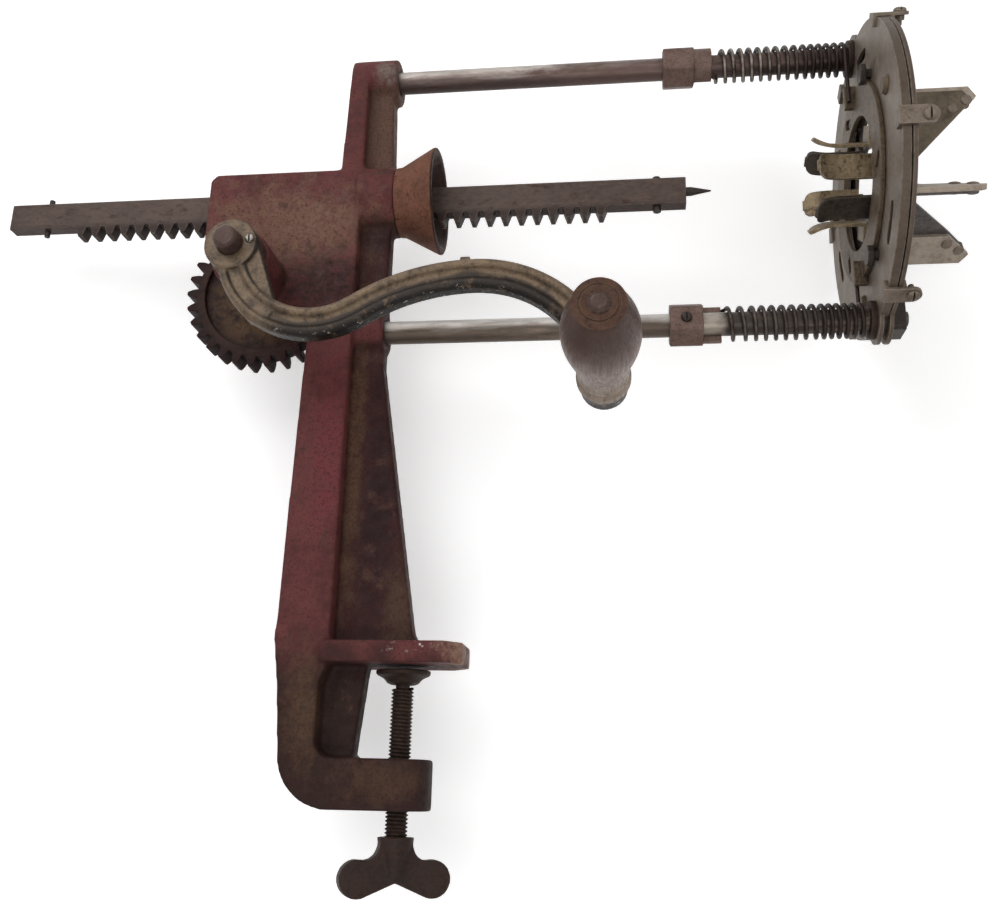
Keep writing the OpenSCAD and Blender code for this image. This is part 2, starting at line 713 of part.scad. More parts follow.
// jaw: a shoe for two fingers, an arm to its pivot and an ear with the cam pin
module jaw(k) {
    shoe_mid = finger_r + shoe_w / 2;
    color("#6e6558") around(jaw_angles[k]) union() {
        disc_plate(jaw_x0, jaw_t) difference() {
            union() {
                intersection() {
                    difference() {
                        circle(finger_r + shoe_w);
                        circle(finger_r);
                    }
                    polygon([[0, 0], 2 * shoe_mid * [sin(shoe_half), cos(shoe_half)], [0, 2.6 * shoe_mid],
                        2 * shoe_mid * [-sin(shoe_half), cos(shoe_half)]]);
                }
                slot2d(pivot_at, [0.68, 0.88] * shoe_mid, 6);
                translate(pivot_at) circle(pivot_d / 2 + 4.5);
                slot2d(cam_at, [0.24, 1.1] * shoe_mid, cam_pin_d / 2 + 2.5);
            }
            translate(pivot_at) circle(d = pivot_d + 2 * run_gap);
        }
        translate([ring_x0, cam_at[0], cam_at[1]]) rotate([0, 90, 0])
            cylinder(h = jaw_x0 + jaw_t / 2 - ring_x0, d = cam_pin_d);
    }
}

module jaw_1() jaw(0);
module jaw_2() jaw(1);
module jaw_3() jaw(2);

// guide finger: a foot on the jaw, a flat blade forward and a tip that flares outward
module guide_finger(k) {
    angle = jaw_angles[floor((k - 1) / 2)] + (k % 2 == 0 ? finger_spread : -finger_spread);
    flare_r = finger_l * 0.84;
    flare = 34;
    flat_x = -finger_l + flare_r * sin(flare);
    tip_z = finger_r + finger_t + flare_r;
    color("#93866f") around(angle) intersection() {
        union() {
            translate([jaw_x0 - finger_t, -finger_w / 2, finger_r]) cube([finger_t, finger_w, shoe_w]);
            translate([flat_x, -finger_w / 2, finger_r]) cube([jaw_x0 - flat_x, finger_w, finger_t]);
            translate([flat_x, finger_w / 2, tip_z]) rotate([90, 0, 0]) rotate(-90 - flare)
                rotate_extrude(angle = flare, $fn = 96) translate([flare_r, 0]) square([finger_t, finger_w]);
        }
        linear_extrude(3 * finger_r) {
            translate([-finger_l - 2, -finger_w / 2 + 4]) square([finger_l + 8, finger_w - 8]);
            translate([-finger_l + 4, -finger_w / 2]) square([finger_l + 4, finger_w]);
            for (side = [-1, 1]) translate([-finger_l + 4, side * (finger_w / 2 - 4)]) circle(4);
        }
    }
}

module guide_finger_1() guide_finger(1);
module guide_finger_2() guide_finger(2);
module guide_finger_3() guide_finger(3);
module guide_finger_4() guide_finger(4);
module guide_finger_5() guide_finger(5);
module guide_finger_6() guide_finger(6);

// knife arm in a plane through the head's axis, behind the head
module knife_outline(points, t, y) {
    translate([0, y, 0]) rotate([90, 0, 0]) linear_extrude(t) polygon(points);
}

strap_in = knife_r - 19;
rivet_r = 2.2;
// the three arms are cut to different lengths
arm_trim = [0, 13, -3];
function arm_reach(k) = knife_reach - arm_trim[k];
function rivet_spots(k) = [[arm_reach(k) - 6, knife_r - 9], [arm_reach(k) - 13.5, strap_in + 5.2]];

module knife_arm(k) {
    back = jaw_x0 + jaw_t;
    reach = arm_reach(k);
    color("#8b7f6e") around(jaw_angles[k]) difference() {
        knife_outline([[back, finger_r + 1], [back, finger_r + shoe_w], [head_t + 1, finger_r + shoe_w + 2],
            [head_t + 5, knife_r], [reach - 4, knife_r], [reach, knife_r - 6],
            [reach - 13, strap_in], [head_t + 16, strap_in], [head_t + 6, finger_r + 4]],
            strap_t, strap_t / 2);
        for (p = rivet_spots(k)) translate([p[0], 0, p[1]]) rotate([90, 0, 0])
            cylinder(h = 2 * strap_t, r = rivet_r, center = true);
    }
}

module knife_arm_1() knife_arm(0);
module knife_arm_2() knife_arm(1);
module knife_arm_3() knife_arm(2);

module knife(k) {
    reach = arm_reach(k);
    color("#5c6670") around(jaw_angles[k]) difference() {
        knife_outline([[head_t + 5, cob_r], [head_t + 20, cob_r], [reach - 13, strap_in - 1],
            [reach - 2.5, knife_r - 9], [reach - 8, knife_r - 3], [head_t + 8, knife_r - 3]],
            blade_t, -strap_t / 2);
        for (p = rivet_spots(k)) translate([p[0], 0, p[1]]) rotate([90, 0, 0])
            cylinder(h = 4 * strap_t, r = rivet_r, center = true);
    }
}

module knife_1() knife(0);
module knife_2() knife(1);
module knife_3() knife(2);

module knife_rivets(k) {
    color("#3b3734") around(jaw_angles[k]) for (p = rivet_spots(k))
        translate([p[0], 0, p[1]]) rotate([90, 0, 0]) {
            translate([0, 0, -strap_t / 2 - lap]) cylinder(h = strap_t + blade_t + 2 * lap, r = rivet_r);
            translate([0, 0, -strap_t / 2 - 1]) cylinder(h = 1, r1 = rivet_r, r2 = rivet_r + 1);
            translate([0, 0, strap_t / 2 + blade_t]) cylinder(h = 1, r1 = rivet_r + 1, r2 = rivet_r);
        }
}

module knife_rivets_1() knife_rivets(0);
module knife_rivets_2() knife_rivets(1);
module knife_rivets_3() knife_rivets(2);

// crank, gear and rack
module crank_shaft() {
    length = housing_half - hub_front_y + shaft_out;
    color("#7d756c") along_y(shaft_x, housing_half, shaft_z) rotate_extrude()
        polygon([[0, 0], [shaft_d / 2, 0], [shaft_d / 2, length - 1.5], [shaft_d / 2 - 1.5, length],
            [0, length]]);
}

module drive_gear() {
    rim = gear_root_r - 4.5;
    hub = shaft_d / 2 + 6;
    recess = gear_face / 2 - 2.5;
    color("#5b2f2c") translate([shaft_x, 0, shaft_z]) difference() {
        upright(gear_face / 2) polygon(gear_outline);
        for (side = [0, 180]) rotate([90 + side, 0, 0])
            translate([0, 0, gear_face / 2 - recess]) difference() {
                cylinder(h = recess + cut, r = rim, $fn = 96);
                translate([0, 0, -cut]) cylinder(h = recess + 3 * cut, r = hub);
            }
        rotate([90, 0, 0]) cylinder(h = gear_face + 2 * cut, d = shaft_d, center = true);
    }
}

// cross section of the arm: two rounded ridges with a groove between them
module arm_section() {
    w = arm_w / 2;
    t = arm_t / 2;
    polygon([[-w + 2, -t], [w - 2, -t], [w, 2 - t], [w, t - 2.5], [w - 1.5, t - 0.5],
        [w - 3, t], [w - 4.5, t - 0.6], [2, t - 3], [-2, t - 3], [4.5 - w, t - 0.6], [3 - w, t],
        [1.5 - w, t - 0.5], [-w, t - 2.5], [-w, 2 - t]]);
}

module arm_bend(centre, r, from, to, size = 1) {
    translate([centre[0], 0, centre[1]]) rotate([90, 0, 0]) rotate(from)
        rotate_extrude(angle = to - from, $fn = 120) translate([r, 0]) scale(size) arm_section();
}

crank_screw_at = [crank_hub_r - 3.6, 2.5];

module crank_arm() {
    color("#2e2622") translate([shaft_x, 0, shaft_z]) difference() {
        union() {
            along_y(0, hub_back_y, 0) cylinder(h = crank_hub_l, r = crank_hub_r);
            translate([0, arm_y, 0]) {
                arm_bend([bend_low_r, 0], bend_low_r, 180, 360 - swap_angle);
                arm_bend(mid_centre, bend_mid_r, 90 - mid_lap, 180 - swap_angle + mid_lap, 0.996);
                arm_bend(end_centre, bend_end_r, end_angle, 90);
            }
            along_y(eye_at[0], arm_y + arm_t / 2, eye_at[1]) cylinder(h = arm_t, r = eye_r);
            translate([crest_ahead - 8, arm_y - 2, arm_w / 2 - crest_drop - 1]) cube([5, 5, 3.2]);
        }
        rotate([90, 0, 0]) cylinder(h = 200, d = shaft_d, center = true);
        along_y(eye_at[0], arm_y + arm_t, eye_at[1]) cylinder(h = 2 * arm_t, d = spindle_d);
        along_y(crank_screw_at[0], hub_front_y + 5, crank_screw_at[1]) cylinder(h = 6, d = 4.4);
    }
}

module crank_screw() {
    color("#b5aea4") along_y(shaft_x + crank_screw_at[0], hub_front_y + 5, shaft_z + crank_screw_at[1])
        cylinder(h = 6.2, d = 4.4);
}

module handle_spindle() {
    back = arm_y + arm_t / 2;
    front = grip_end_y - move_gap - handle_washer_t;
    color("#6b5646") union() {
        along_y(eye_x, back + lap, eye_z) cylinder(h = back - front + 2 * lap, d = spindle_d);
        along_y(eye_x, back + 1.6, eye_z) cylinder(h = 1.6, r1 = spindle_d / 2, r2 = spindle_d / 2 + 1.6);
        along_y(eye_x, front, eye_z) cylinder(h = 2, r1 = spindle_d / 2 + 1.1, r2 = spindle_d / 2 - 1);
    }
}

module handle_washer() {
    color("#6b4a35") along_y(eye_x, grip_end_y - move_gap, eye_z) difference() {
        cylinder(h = handle_washer_t, r = spindle_d + 1.4);
        translate([0, 0, -cut]) cylinder(h = handle_washer_t + 2 * cut, d = spindle_d);
    }
}

grip_steps = 12;
function grip_radius(u) = waist_r + (grip_r - waist_r) * sin(180 * pow(u, 1.35));
grip_curve = [for (i = [0:grip_steps]) let (u = i / grip_steps)
    [grip_radius(u), waist_s + u * (grip_l - waist_s - 1)]];

module handle_grip() {
    bore = spindle_d / 2 + run_gap;
    color("#6d6156") along_y(eye_x, grip_base_y, eye_z) rotate_extrude()
        polygon(concat([[bore, 0], [bead_r - 1, 0], [bead_r, 1.5], [bead_r, 5], [bead_r - 1.2, 6.5],
            [waist_r, 7.5], [waist_r, 8.5], [waist_r + 0.7, 10], [waist_r + 0.4, 12]],
            grip_curve, [[waist_r - 1, grip_l], [bore, grip_l]]));
}

module rack_tooth(j) {
    half = tooth_pitch / 4 - backlash / 4;
    tip = half - addendum * tan(pressure);
    root = half + dedendum * tan(pressure);
    translate([j * tooth_pitch, 0])
        polygon([[-root, rack_root + lap], [-root, rack_root], [-tip, rack_tip], [tip, rack_tip],
            [root, rack_root], [root, rack_root + lap]]);
}

rear_pin_x = shaft_x - rack_behind + rear_pin_in;
front_pin_x = shaft_x + rack_ahead - front_pin_in;
spike_x = shaft_x + rack_ahead;
spike_shank = [3.4, 9];

module rack_bar() {
    color("#4a4540") difference() {
        translate([shaft_x, 0, rack_h]) upright(rack_t / 2) {
            translate([-rack_behind, rack_root]) square([rack_behind + rack_ahead, rack_bar_h]);
            for (j = [-teeth_behind:teeth_ahead]) rack_tooth(j);
        }
        translate([rear_pin_x, 0, rack_h - rack_bar_h]) cylinder(h = 2 * rack_bar_h, d = rear_pin_d);
        translate([front_pin_x, 0, rack_h - rack_bar_h]) cylinder(h = 2 * rack_bar_h, d = front_pin_d);
        along_x(spike_x - spike_shank[1], 0, rack_h) cylinder(h = spike_shank[1] + cut, d = spike_shank[0]);
    }
}

module rear_stop_pin() {
    color("#3f3a36") translate([rear_pin_x, 0, rack_h + rack_root - 4])
        cylinder(h = rack_bar_h + 8.5, d = rear_pin_d);
}

module front_stop_pin() {
    color("#3f3a36") translate([front_pin_x, 0, rack_h + rack_root - 3])
        cylinder(h = rack_bar_h + 5.5, d = front_pin_d);
}

module ear_spike() {
    color("#1f1d1c") union() {
        along_x(spike_x - spike_shank[1], 0, rack_h) cylinder(h = spike_shank[1] + lap, d = spike_shank[0]);
        along_x(spike_x, 0, rack_h) rotate_extrude()
            polygon([[0, 0], [spike_d / 2, 0], [spike_d / 2, spike_l * 0.2], [0.4, spike_l], [0, spike_l]]);
    }
}

// table clamp
pad_low = pad_top - pad_h;

module clamp_pad() {
    color("#5c4034") translate([0, 0, pad_low]) rotate_extrude()
        polygon([[screw_neck_d / 2 + run_gap, 0], [pad_r * 0.45, 0], [pad_r * 0.58, 0.8],
            [pad_r * 0.66, 2.2], [pad_r * 0.76, 3.4], [pad_r - 0.6, pad_h - 2.4], [pad_r, pad_h - 1.6],
            [pad_r, pad_h], [0, pad_h], [0, pad_h - pad_roof],
            [screw_neck_d / 2 + run_gap, pad_h - pad_roof]]);
}

module clamp_screw() {
    neck_top = pad_top - pad_roof - move_gap;
    shoulder = pad_low - move_gap;
    color("#57463c") union() {
        translate([0, 0, shoulder - lap]) cylinder(h = neck_top - shoulder + lap, d = screw_neck_d);
        translate([0, 0, wing_top - screw_in_wing])
            cylinder(h = shoulder - wing_top + screw_in_wing, d = clamp_screw_d);
    }
}

module clamp_wing() {
    lobe_r = 8.8;
    lobe_drop = 18.7;
    lobe = [wing_span / 2 - lobe_r, -lobe_drop];
    saddle_r = 7;
    saddle = lobe + [-saddle_r * 0.43, lobe_r + saddle_r * 0.94];
    neck_w = 0.9 * wing_hub_r;
    neck_h = 0.2 * wing_hub_h;
    half = concat([[0, -neck_h / 4], [neck_w, -neck_h / 4], [neck_w, -neck_h]],
        arc(saddle, saddle_r, 215, 272), arc(lobe, lobe_r, 80, -105), [[0, -wing_hub_h]]);
    color("#4c3b33") translate([0, 0, wing_top]) rotate([0, 0, 25]) difference() {
        union() {
            translate([0, 0, -wing_hub_h + 1])
                cylinder(h = wing_hub_h - 1, r1 = wing_t / 2 + 1, r2 = wing_hub_r);
            rotate([90, 0, 0]) linear_extrude(wing_t, center = true) {
                polygon(half);
                mirror([1, 0]) polygon(half);
            }
        }
        translate([0, 0, -screw_in_wing]) cylinder(h = screw_in_wing + cut, d = clamp_screw_d);
    }
}

frame_casting();
ear_funnel();
neck_screw();
upper_guide_rod();
lower_guide_rod();
upper_collar();
lower_collar();
collar_screws();
upper_spring();
lower_spring();
upper_spring_washer();
lower_spring_washer();
head_front_plate();
head_rear_plate();
plate_spacers();
upper_rod_nut();
lower_rod_nut();
rim_clips();
rim_clip_screws();
jaw_pivots();
ring_keepers();
crank_shaft();
drive_gear();
crank_arm();
crank_screw();
handle_spindle();
handle_washer();
handle_grip();
rack_bar();
rear_stop_pin();
front_stop_pin();
ear_spike();
clamp_pad();
clamp_screw();
clamp_wing();
cam_ring();
jaw_1();
jaw_2();
jaw_3();
guide_finger_1();
guide_finger_2();
guide_finger_3();
guide_finger_4();
guide_finger_5();
guide_finger_6();
knife_arm_1();
knife_arm_2();
knife_arm_3();
knife_1();
knife_2();
knife_3();
knife_rivets_1();
knife_rivets_2();
knife_rivets_3();
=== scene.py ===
# %% [markdown]
# # A hand-cranked corn cutter, dressed for the camera
# A cast iron post clamps to a table edge. A crank turns a gear, the gear drives a toothed rack, and the
# spike on the rack pushes an ear of corn through a ring of spring-loaded knives. The solids come from the
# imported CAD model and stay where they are. This lesson gives them an old tool's skin, and models again the
# few pieces whose form matters to the eye: springs, threads, screws, rivets and the turned wooden grip.

import math

import bmesh
import bpy
from mathutils import Matrix, Vector


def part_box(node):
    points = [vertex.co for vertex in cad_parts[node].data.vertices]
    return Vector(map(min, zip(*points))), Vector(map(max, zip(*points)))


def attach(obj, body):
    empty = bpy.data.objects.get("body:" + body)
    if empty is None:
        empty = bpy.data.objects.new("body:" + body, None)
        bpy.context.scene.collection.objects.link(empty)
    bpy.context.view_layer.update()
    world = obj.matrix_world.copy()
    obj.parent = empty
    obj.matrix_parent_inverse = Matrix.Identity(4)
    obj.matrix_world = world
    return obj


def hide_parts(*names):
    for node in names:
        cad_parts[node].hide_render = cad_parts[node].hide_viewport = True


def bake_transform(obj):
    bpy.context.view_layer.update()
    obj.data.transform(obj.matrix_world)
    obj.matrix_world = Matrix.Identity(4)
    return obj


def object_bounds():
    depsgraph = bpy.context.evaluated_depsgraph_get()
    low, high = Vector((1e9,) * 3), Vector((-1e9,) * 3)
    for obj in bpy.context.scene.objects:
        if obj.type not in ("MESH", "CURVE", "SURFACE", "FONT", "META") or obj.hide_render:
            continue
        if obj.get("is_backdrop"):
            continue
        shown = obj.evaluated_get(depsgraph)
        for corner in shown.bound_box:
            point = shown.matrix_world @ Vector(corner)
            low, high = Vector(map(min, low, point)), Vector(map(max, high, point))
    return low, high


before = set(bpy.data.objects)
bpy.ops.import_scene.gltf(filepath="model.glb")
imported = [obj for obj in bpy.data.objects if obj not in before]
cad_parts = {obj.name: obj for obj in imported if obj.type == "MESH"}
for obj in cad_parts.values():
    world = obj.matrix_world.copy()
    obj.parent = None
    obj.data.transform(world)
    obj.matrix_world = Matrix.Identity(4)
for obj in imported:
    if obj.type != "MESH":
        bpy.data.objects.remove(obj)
cad_low, cad_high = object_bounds()
MM = 0.001
print("CAD nodes:", len(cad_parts), "box in mm:", [round(x / MM) for x in cad_high - cad_low])

# %% [markdown]
# ## Two helpers for every finish
# Colours are written as the sRGB hex values that a picture program shows, and Blender's shaders count in
# linear light, so one function converts them. A second function adds a shader node with its settings and
# links. Settings go to a property when the node has one of that name, and else to the socket.


# %% Colour and node helpers
def linear(hex_text):
    """Linear RGBA for an sRGB hex colour such as #5b3a38."""
    shares = [int(hex_text[i : i + 2], 16) / 255 for i in (1, 3, 5)]
    return [c / 12.92 if c <= 0.04045 else ((c + 0.055) / 1.055) ** 2.4 for c in shares] + [1.0]


def add(tree, kind, settings=None, links=None):
    """Adds a shader node, sets its sockets or properties and links its inputs. Returns its first output."""
    node = tree.nodes.new(kind)
    for key, value in (settings or {}).items():
        if isinstance(key, str) and hasattr(node, key):
            setattr(node, key, value)
        else:
            node.inputs[key].default_value = value
    for key, source in (links or {}).items():
        tree.links.new(source, node.inputs[key])
    return next(out for out in node.outputs if out.enabled)


print("maroon in linear light:", [round(c, 3) for c in linear("#5b3a38")])

# %% [markdown]
# ## Masks
# Wear is a matter of where. A mask is a value from 0 to 1 that says how much of a layer lies at a place.
# Noise masks make blotches of a size in millimetres. A ramp turns any measure into a soft border, and noise
# added to the measure first makes that border wander. A spot is an ellipsoid at a known place of the tool
# with a ragged border, for wear that hands and tables leave. Layers lay colours where their masks say.


# %% Mask helpers
BORDER_CLOUD_MM, BORDER_OUTER, BORDER_INNER = 9, 0.5, 0.7


def ramp(tree, value, start, end):
    """0 at start, 1 at end, smooth between. Start may be the larger one."""
    span = {"interpolation_type": "SMOOTHSTEP", "From Min": start, "From Max": end}
    return add(tree, "ShaderNodeMapRange", span, {"Value": value})


def noise(tree, place, size_mm, detail=4.0, rough=0.6, low=0.3, high=0.7):
    """Blotches about size_mm across."""
    grain = {"Scale": 1 / (size_mm * MM), "Detail": detail, "Roughness": rough}
    return ramp(tree, add(tree, "ShaderNodeTexNoise", grain, {"Vector": place}), low, high)


def product(tree, *masks):
    """Product of masks, each a socket or a number."""
    result = masks[0]
    for mask in masks[1:]:
        settings, links = {"operation": "MULTIPLY"}, {0: result}
        (settings if isinstance(mask, float) else links)[1] = mask
        result = add(tree, "ShaderNodeMath", settings, links)
    return result


def layers(tree, colour, *rows):
    """Lays rows of (hex colour, masks) on a colour one after another, each where all its masks are 1."""
    for over, *masks in rows:
        settings, links = {"data_type": "RGBA", 7: linear(over)}, {0: product(tree, *masks)}
        if isinstance(colour, str):
            settings[6] = linear(colour)
        else:
            links[6] = colour
        colour = add(tree, "ShaderNodeMix", settings, links)
    return colour


def wander(tree, measure, place, size_mm, swing, detail=6.0, rough=0.5):
    """A measure with noise of about size_mm added, so that a border drawn at it isn't straight."""
    grain = {"Scale": 1 / (size_mm * MM), "Detail": detail, "Roughness": rough}
    cloud = add(tree, "ShaderNodeTexNoise", grain, {"Vector": place})
    return add(tree, "ShaderNodeMath", {"operation": "MULTIPLY_ADD", 1: swing}, {0: cloud, 2: measure})


def spot(tree, at, centre_mm, size_mm, ragged=3.0):
    """1 inside an ellipsoid, 0 outside, with a ragged border."""
    scale = [1 / (s * MM) for s in size_mm]
    shift = [-c / s for c, s in zip(centre_mm, size_mm)]
    local = add(tree, "ShaderNodeMapping", {"Scale": scale, "Location": shift}, {"Vector": at})
    reach = add(tree, "ShaderNodeVectorMath", {"operation": "LENGTH"}, {0: local}).node.outputs["Value"]
    far = wander(tree, reach, at, BORDER_CLOUD_MM, ragged, 8.0, 0.65)
    rim = 1 + ragged / 2
    return ramp(tree, far, rim + BORDER_OUTER, rim - BORDER_INNER)


print("masks and layers are ready, with borders ragged by", BORDER_CLOUD_MM, "mm clouds")

# %% [markdown]
# ## One recipe for aged metal
# Every metal here is old: a skin of paint, plate or patina with blotches and specks, patches where it has
# gone through, bright wear on the edges that hands and other pieces rub, and painted shade in the corners.
# The layers are the same from piece to piece, and only colours, sizes and amounts differ, so one recipe
# takes them as settings. Edges are found with the Bevel node: where its rounded normal leaves the true one,
# an edge is near. Corners are found with ambient occlusion, and the darkest colour lays painted shade there
# as well as the dark specks. A tint is a function that adds the wear of one piece, and on some pieces
# painted
# light or shade: it gets the place, the place's axes, the axes of the surface's normal and the colour so
# far.
# Old paint and patina have little shine, so the specular level is low. Grit and dents are drawn a little
# coarser than on the real metal, because finer ones wouldn't show at the size of the picture.


# %% Recipe for aged metal
SPECK_MM, SCUFF_MM, CORNER_MM, DENT_GRITS = 1.5, 2.5, 6, 5


def new_material(name):
    """A material, its node tree and its shader."""
    material = bpy.data.materials.new(name)
    material.use_nodes = True
    return material, material.node_tree, material.node_tree.nodes["Principled BSDF"]


def feed(tree, shader, colour, gloss, relief, specular):
    """Links a finish to its shader."""
    for socket, source in (("Base Color", colour), ("Roughness", gloss), ("Normal", relief)):
        tree.links.new(source, shader.inputs[socket])
    shader.inputs["Specular IOR Level"].default_value = specular


def aged_metal(name, colours, blotch_mm=9.0, patch_mm=5.0, patches=(0.52, 0.68), edge_mm=1.2,
               edge_share=0.7, metallic=0.4, specular=0.2, roughness=(0.4, 0.58), grit_mm=0.9,
               bump_mm=0.03, speck=0.35, stretch=(1, 1, 1), tint=None):
    """Colours are three of the skin from dark to light, then those of patches, edges, and specks with
    painted corner shade.
    """
    dark, mid, light, patch, edge, grime = colours.split()
    material, tree, shader = new_material(name)
    coords = add(tree, "ShaderNodeTexCoord").node.outputs
    at = coords["Object"]
    place = add(tree, "ShaderNodeMapping", {"Scale": stretch}, {"Vector": at})
    broad = noise(tree, place, blotch_mm, 5.0, 0.6, 0.36, 0.64)
    fine = noise(tree, place, blotch_mm / 5, 6.0)
    colour = layers(tree, dark, (mid, broad), (light, fine, 0.6))
    if tint:
        axes, lean = [add(tree, "ShaderNodeSeparateXYZ", {}, {"Vector": vector}).node.outputs
                      for vector in (at, coords["Normal"])]
        colour = tint(tree, at, axes, lean, colour)
    worn = noise(tree, place, patch_mm, 8.0, 0.7, *patches)
    specks = noise(tree, place, SPECK_MM, 4.0, 0.7, 0.45, 0.7)
    rounded = add(tree, "ShaderNodeBevel", {"samples": 4, "Radius": edge_mm * MM})
    true = add(tree, "ShaderNodeNewGeometry").node.outputs["Normal"]
    facing = add(tree, "ShaderNodeVectorMath", {"operation": "DOT_PRODUCT"}, {0: rounded, 1: true}).node
    near_edge = ramp(tree, facing.outputs["Value"], 0.995, 0.86)
    scuff = noise(tree, place, SCUFF_MM, 5.0, 0.6, 0.3, 0.62)
    shade = {"samples": 4, "only_local": True, "Distance": CORNER_MM * MM}
    open_sky = add(tree, "ShaderNodeAmbientOcclusion", shade).node.outputs["AO"]
    outer, inner = ramp(tree, open_sky, 0.45, 0.8), ramp(tree, open_sky, 0.85, 0.25)
    # The last colour lays dark specks, and where ambient occlusion finds corners it lays painted shade.
    colour = layers(tree, colour, (patch, worn), (grime, specks, speck),
                    (edge, near_edge, scuff, outer, edge_share), (grime, inner, 0.85))
    shine = {"To Min": roughness[0], "To Max": roughness[1]}
    gloss = add(tree, "ShaderNodeMapRange", shine, {"Value": fine})
    grit = add(tree, "ShaderNodeTexNoise", {"Scale": 1 / (grit_mm * MM), "Detail": 3.0}, {"Vector": place})
    pitted = wander(tree, grit, place, DENT_GRITS * grit_mm, 2.0, 3.0)
    relief = add(tree, "ShaderNodeBump", {"Strength": 0.6, "Distance": bump_mm * MM},
                 {"Height": pitted, "Normal": rounded})
    feed(tree, shader, colour, gloss, relief, specular)
    shader.inputs["Metallic"].default_value = metallic
    return material


print("recipe takes", aged_metal.__code__.co_argcount, "settings")

# %% [markdown]
# ## Painted casting
# The post, housing and clamp are one iron casting, once painted maroon. Hands have rubbed the middle of the
# housing to brown iron. The channel of the post has kept its paint and is darker, with a painted highlight
# streak along its fillet. Below the table plate the paint is gone, and the palm has polished two tan places
# there. The edge of the plate is chipped bright. Both sides wear alike, so the places are folded over Y.

# %% Painted casting
WEAR_SPOTS = (
    ((-76, -16, 240), (52, 18, 28), "#745748", 0.9),
    ((-52, -16, 205), (40, 14, 19), "#2b1917", 0.95),
    ((-42, -17, 112), (9, 9, 50), "#6e2f37", 0.55),
    # The pale streak along the channel's fillet is a painted highlight.
    ((-31, -6, 115), (4.5, 5, 80), "#604634", 0.75),
    ((-16, -6, 75), (9, 6, 62), "#1f1213", 0.75),
    ((-3, -6, 28), (8, 6, 26), "#503c30", 0.8),
    ((-45, -18, -22), (9, 9, 28), "#553f30", 0.75),
    ((-6, -16, -56), (20, 9, 8), "#4d382b", 0.75),
    ((31, -14, 6), (11, 16, 9), "#987a69", 0.9),
    ((-24, -14, 344), (7, 7, 7), "#7b7068", 0.8),
    ((-24, -10, 237), (13, 14, 9), "#1d1213", 0.85),
)
CHANNEL_DEPTHS = (12 * MM, 8 * MM)
GREASE_ENDS = (320 * MM, 265 * MM)
BARE_STARTS = (275 * MM, 325 * MM)
PAINT_ENDS = (45 * MM, 15 * MM)
CHIPPED_EDGE = ((9, -21, 8), (11, 5, 4))


def casting_wear(tree, at, axes, lean, colour):
    """A darker channel, bare iron at the top and below the table, the worn places and a painted highlight
    along the fillet.
    """
    depth = add(tree, "ShaderNodeMath", {"operation": "ABSOLUTE"}, {0: axes["Y"]})
    mirrored = {"X": axes["X"], "Y": product(tree, depth, -1.0), "Z": axes["Z"]}
    folded = add(tree, "ShaderNodeCombineXYZ", {}, mirrored)
    height = wander(tree, axes["Z"], at, 22, 60 * MM)
    channel = ramp(tree, depth, *CHANNEL_DEPTHS)
    mottle = noise(tree, at, 4.0, 6.0, 0.7, 0.15, 0.6)
    flakes = noise(tree, at, 2.4, 5.0, 0.7, 0.58, 0.64)
    return layers(
        tree, colour,
        ("#2a1817", channel, ramp(tree, height, *GREASE_ENDS), 0.82),
        ("#594439", channel, ramp(tree, height, *BARE_STARTS), 0.85),
        ("#2a1d19", ramp(tree, height, *PAINT_ENDS), 0.92),
        *[(hue, spot(tree, folded, centre, size), mottle, share) for centre, size, hue, share in WEAR_SPOTS],
        ("#d6d0ca", spot(tree, folded, *CHIPPED_EDGE), flakes))


# Old maroon paint on cast iron: a dull red-brown skin, browner and darker where it has worn through.
maroon_paint = aged_metal(
    "worn_maroon_paint_on_cast_iron", "#442123 #5f3133 #6f433e #4a322b #7c6152 #1c1110",
    blotch_mm=30.0, patch_mm=14.0, patches=(0.54, 0.7), edge_share=0.5, metallic=0.0, specular=0.12,
    roughness=(0.5, 0.75), grit_mm=0.8, bump_mm=0.13, speck=0.5, tint=casting_wear)
print("worn places on the casting:", len(WEAR_SPOTS))

# %% [markdown]
# ## Rusted iron: funnel and washer
# The funnel guides the ear of corn and was left bare, so it is rusty outside. Inside it is darkened with
# painted shade. Its inner wall is the one that faces the head, along +X, so the normal finds it. The washer
# on the grip has the same rust in smaller blotches.


# %% Rusted iron
def funnel_wear(tree, at, axes, lean, colour):
    """Painted shade on the inner wall."""
    return layers(tree, colour, ("#1d1412", ramp(tree, lean["X"], 0.0, 0.35), 0.9))


# Rusted cast iron: a matt orange-brown skin with fine pits, and painted shade inside the funnel.
rust_iron = aged_metal(
    "rusted_cast_iron", "#573a2e #734d40 #7f5543 #5a3c2c #93735a #1f1410",
    blotch_mm=14.0, patch_mm=6.0, metallic=0.0, specular=0.12, roughness=(0.5, 0.72), grit_mm=0.7,
    bump_mm=0.1, tint=funnel_wear)
# Rusted pressed steel: a dark red-brown disc with tighter blotches than the funnel.
washer_rust = aged_metal(
    "rusted_washer_steel", "#3b261d #4c3327 #5a4132 #2f1f19 #8a7058 #1f1410",
    blotch_mm=5.0, patch_mm=3.0, metallic=0.1, roughness=(0.5, 0.72), grit_mm=0.5, bump_mm=0.08,
    edge_mm=0.6)
print("rusted finishes:", rust_iron.name, "and", washer_rust.name)

# %% [markdown]
# ## Painted gear
# The gear was cast and painted with the post. Its rim and teeth have kept the paint, dark with grease, and
# the dish inside is bare brown iron. The dish lies round the crank shaft, so a spot at the shaft finds it.

# %% Gear iron
DISH_MM = (31, 60, 31)


def middle(node):
    """Middle of a CAD node's box."""
    low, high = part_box(node)
    return (low + high) / 2


shaft_at = middle("crank_shaft")


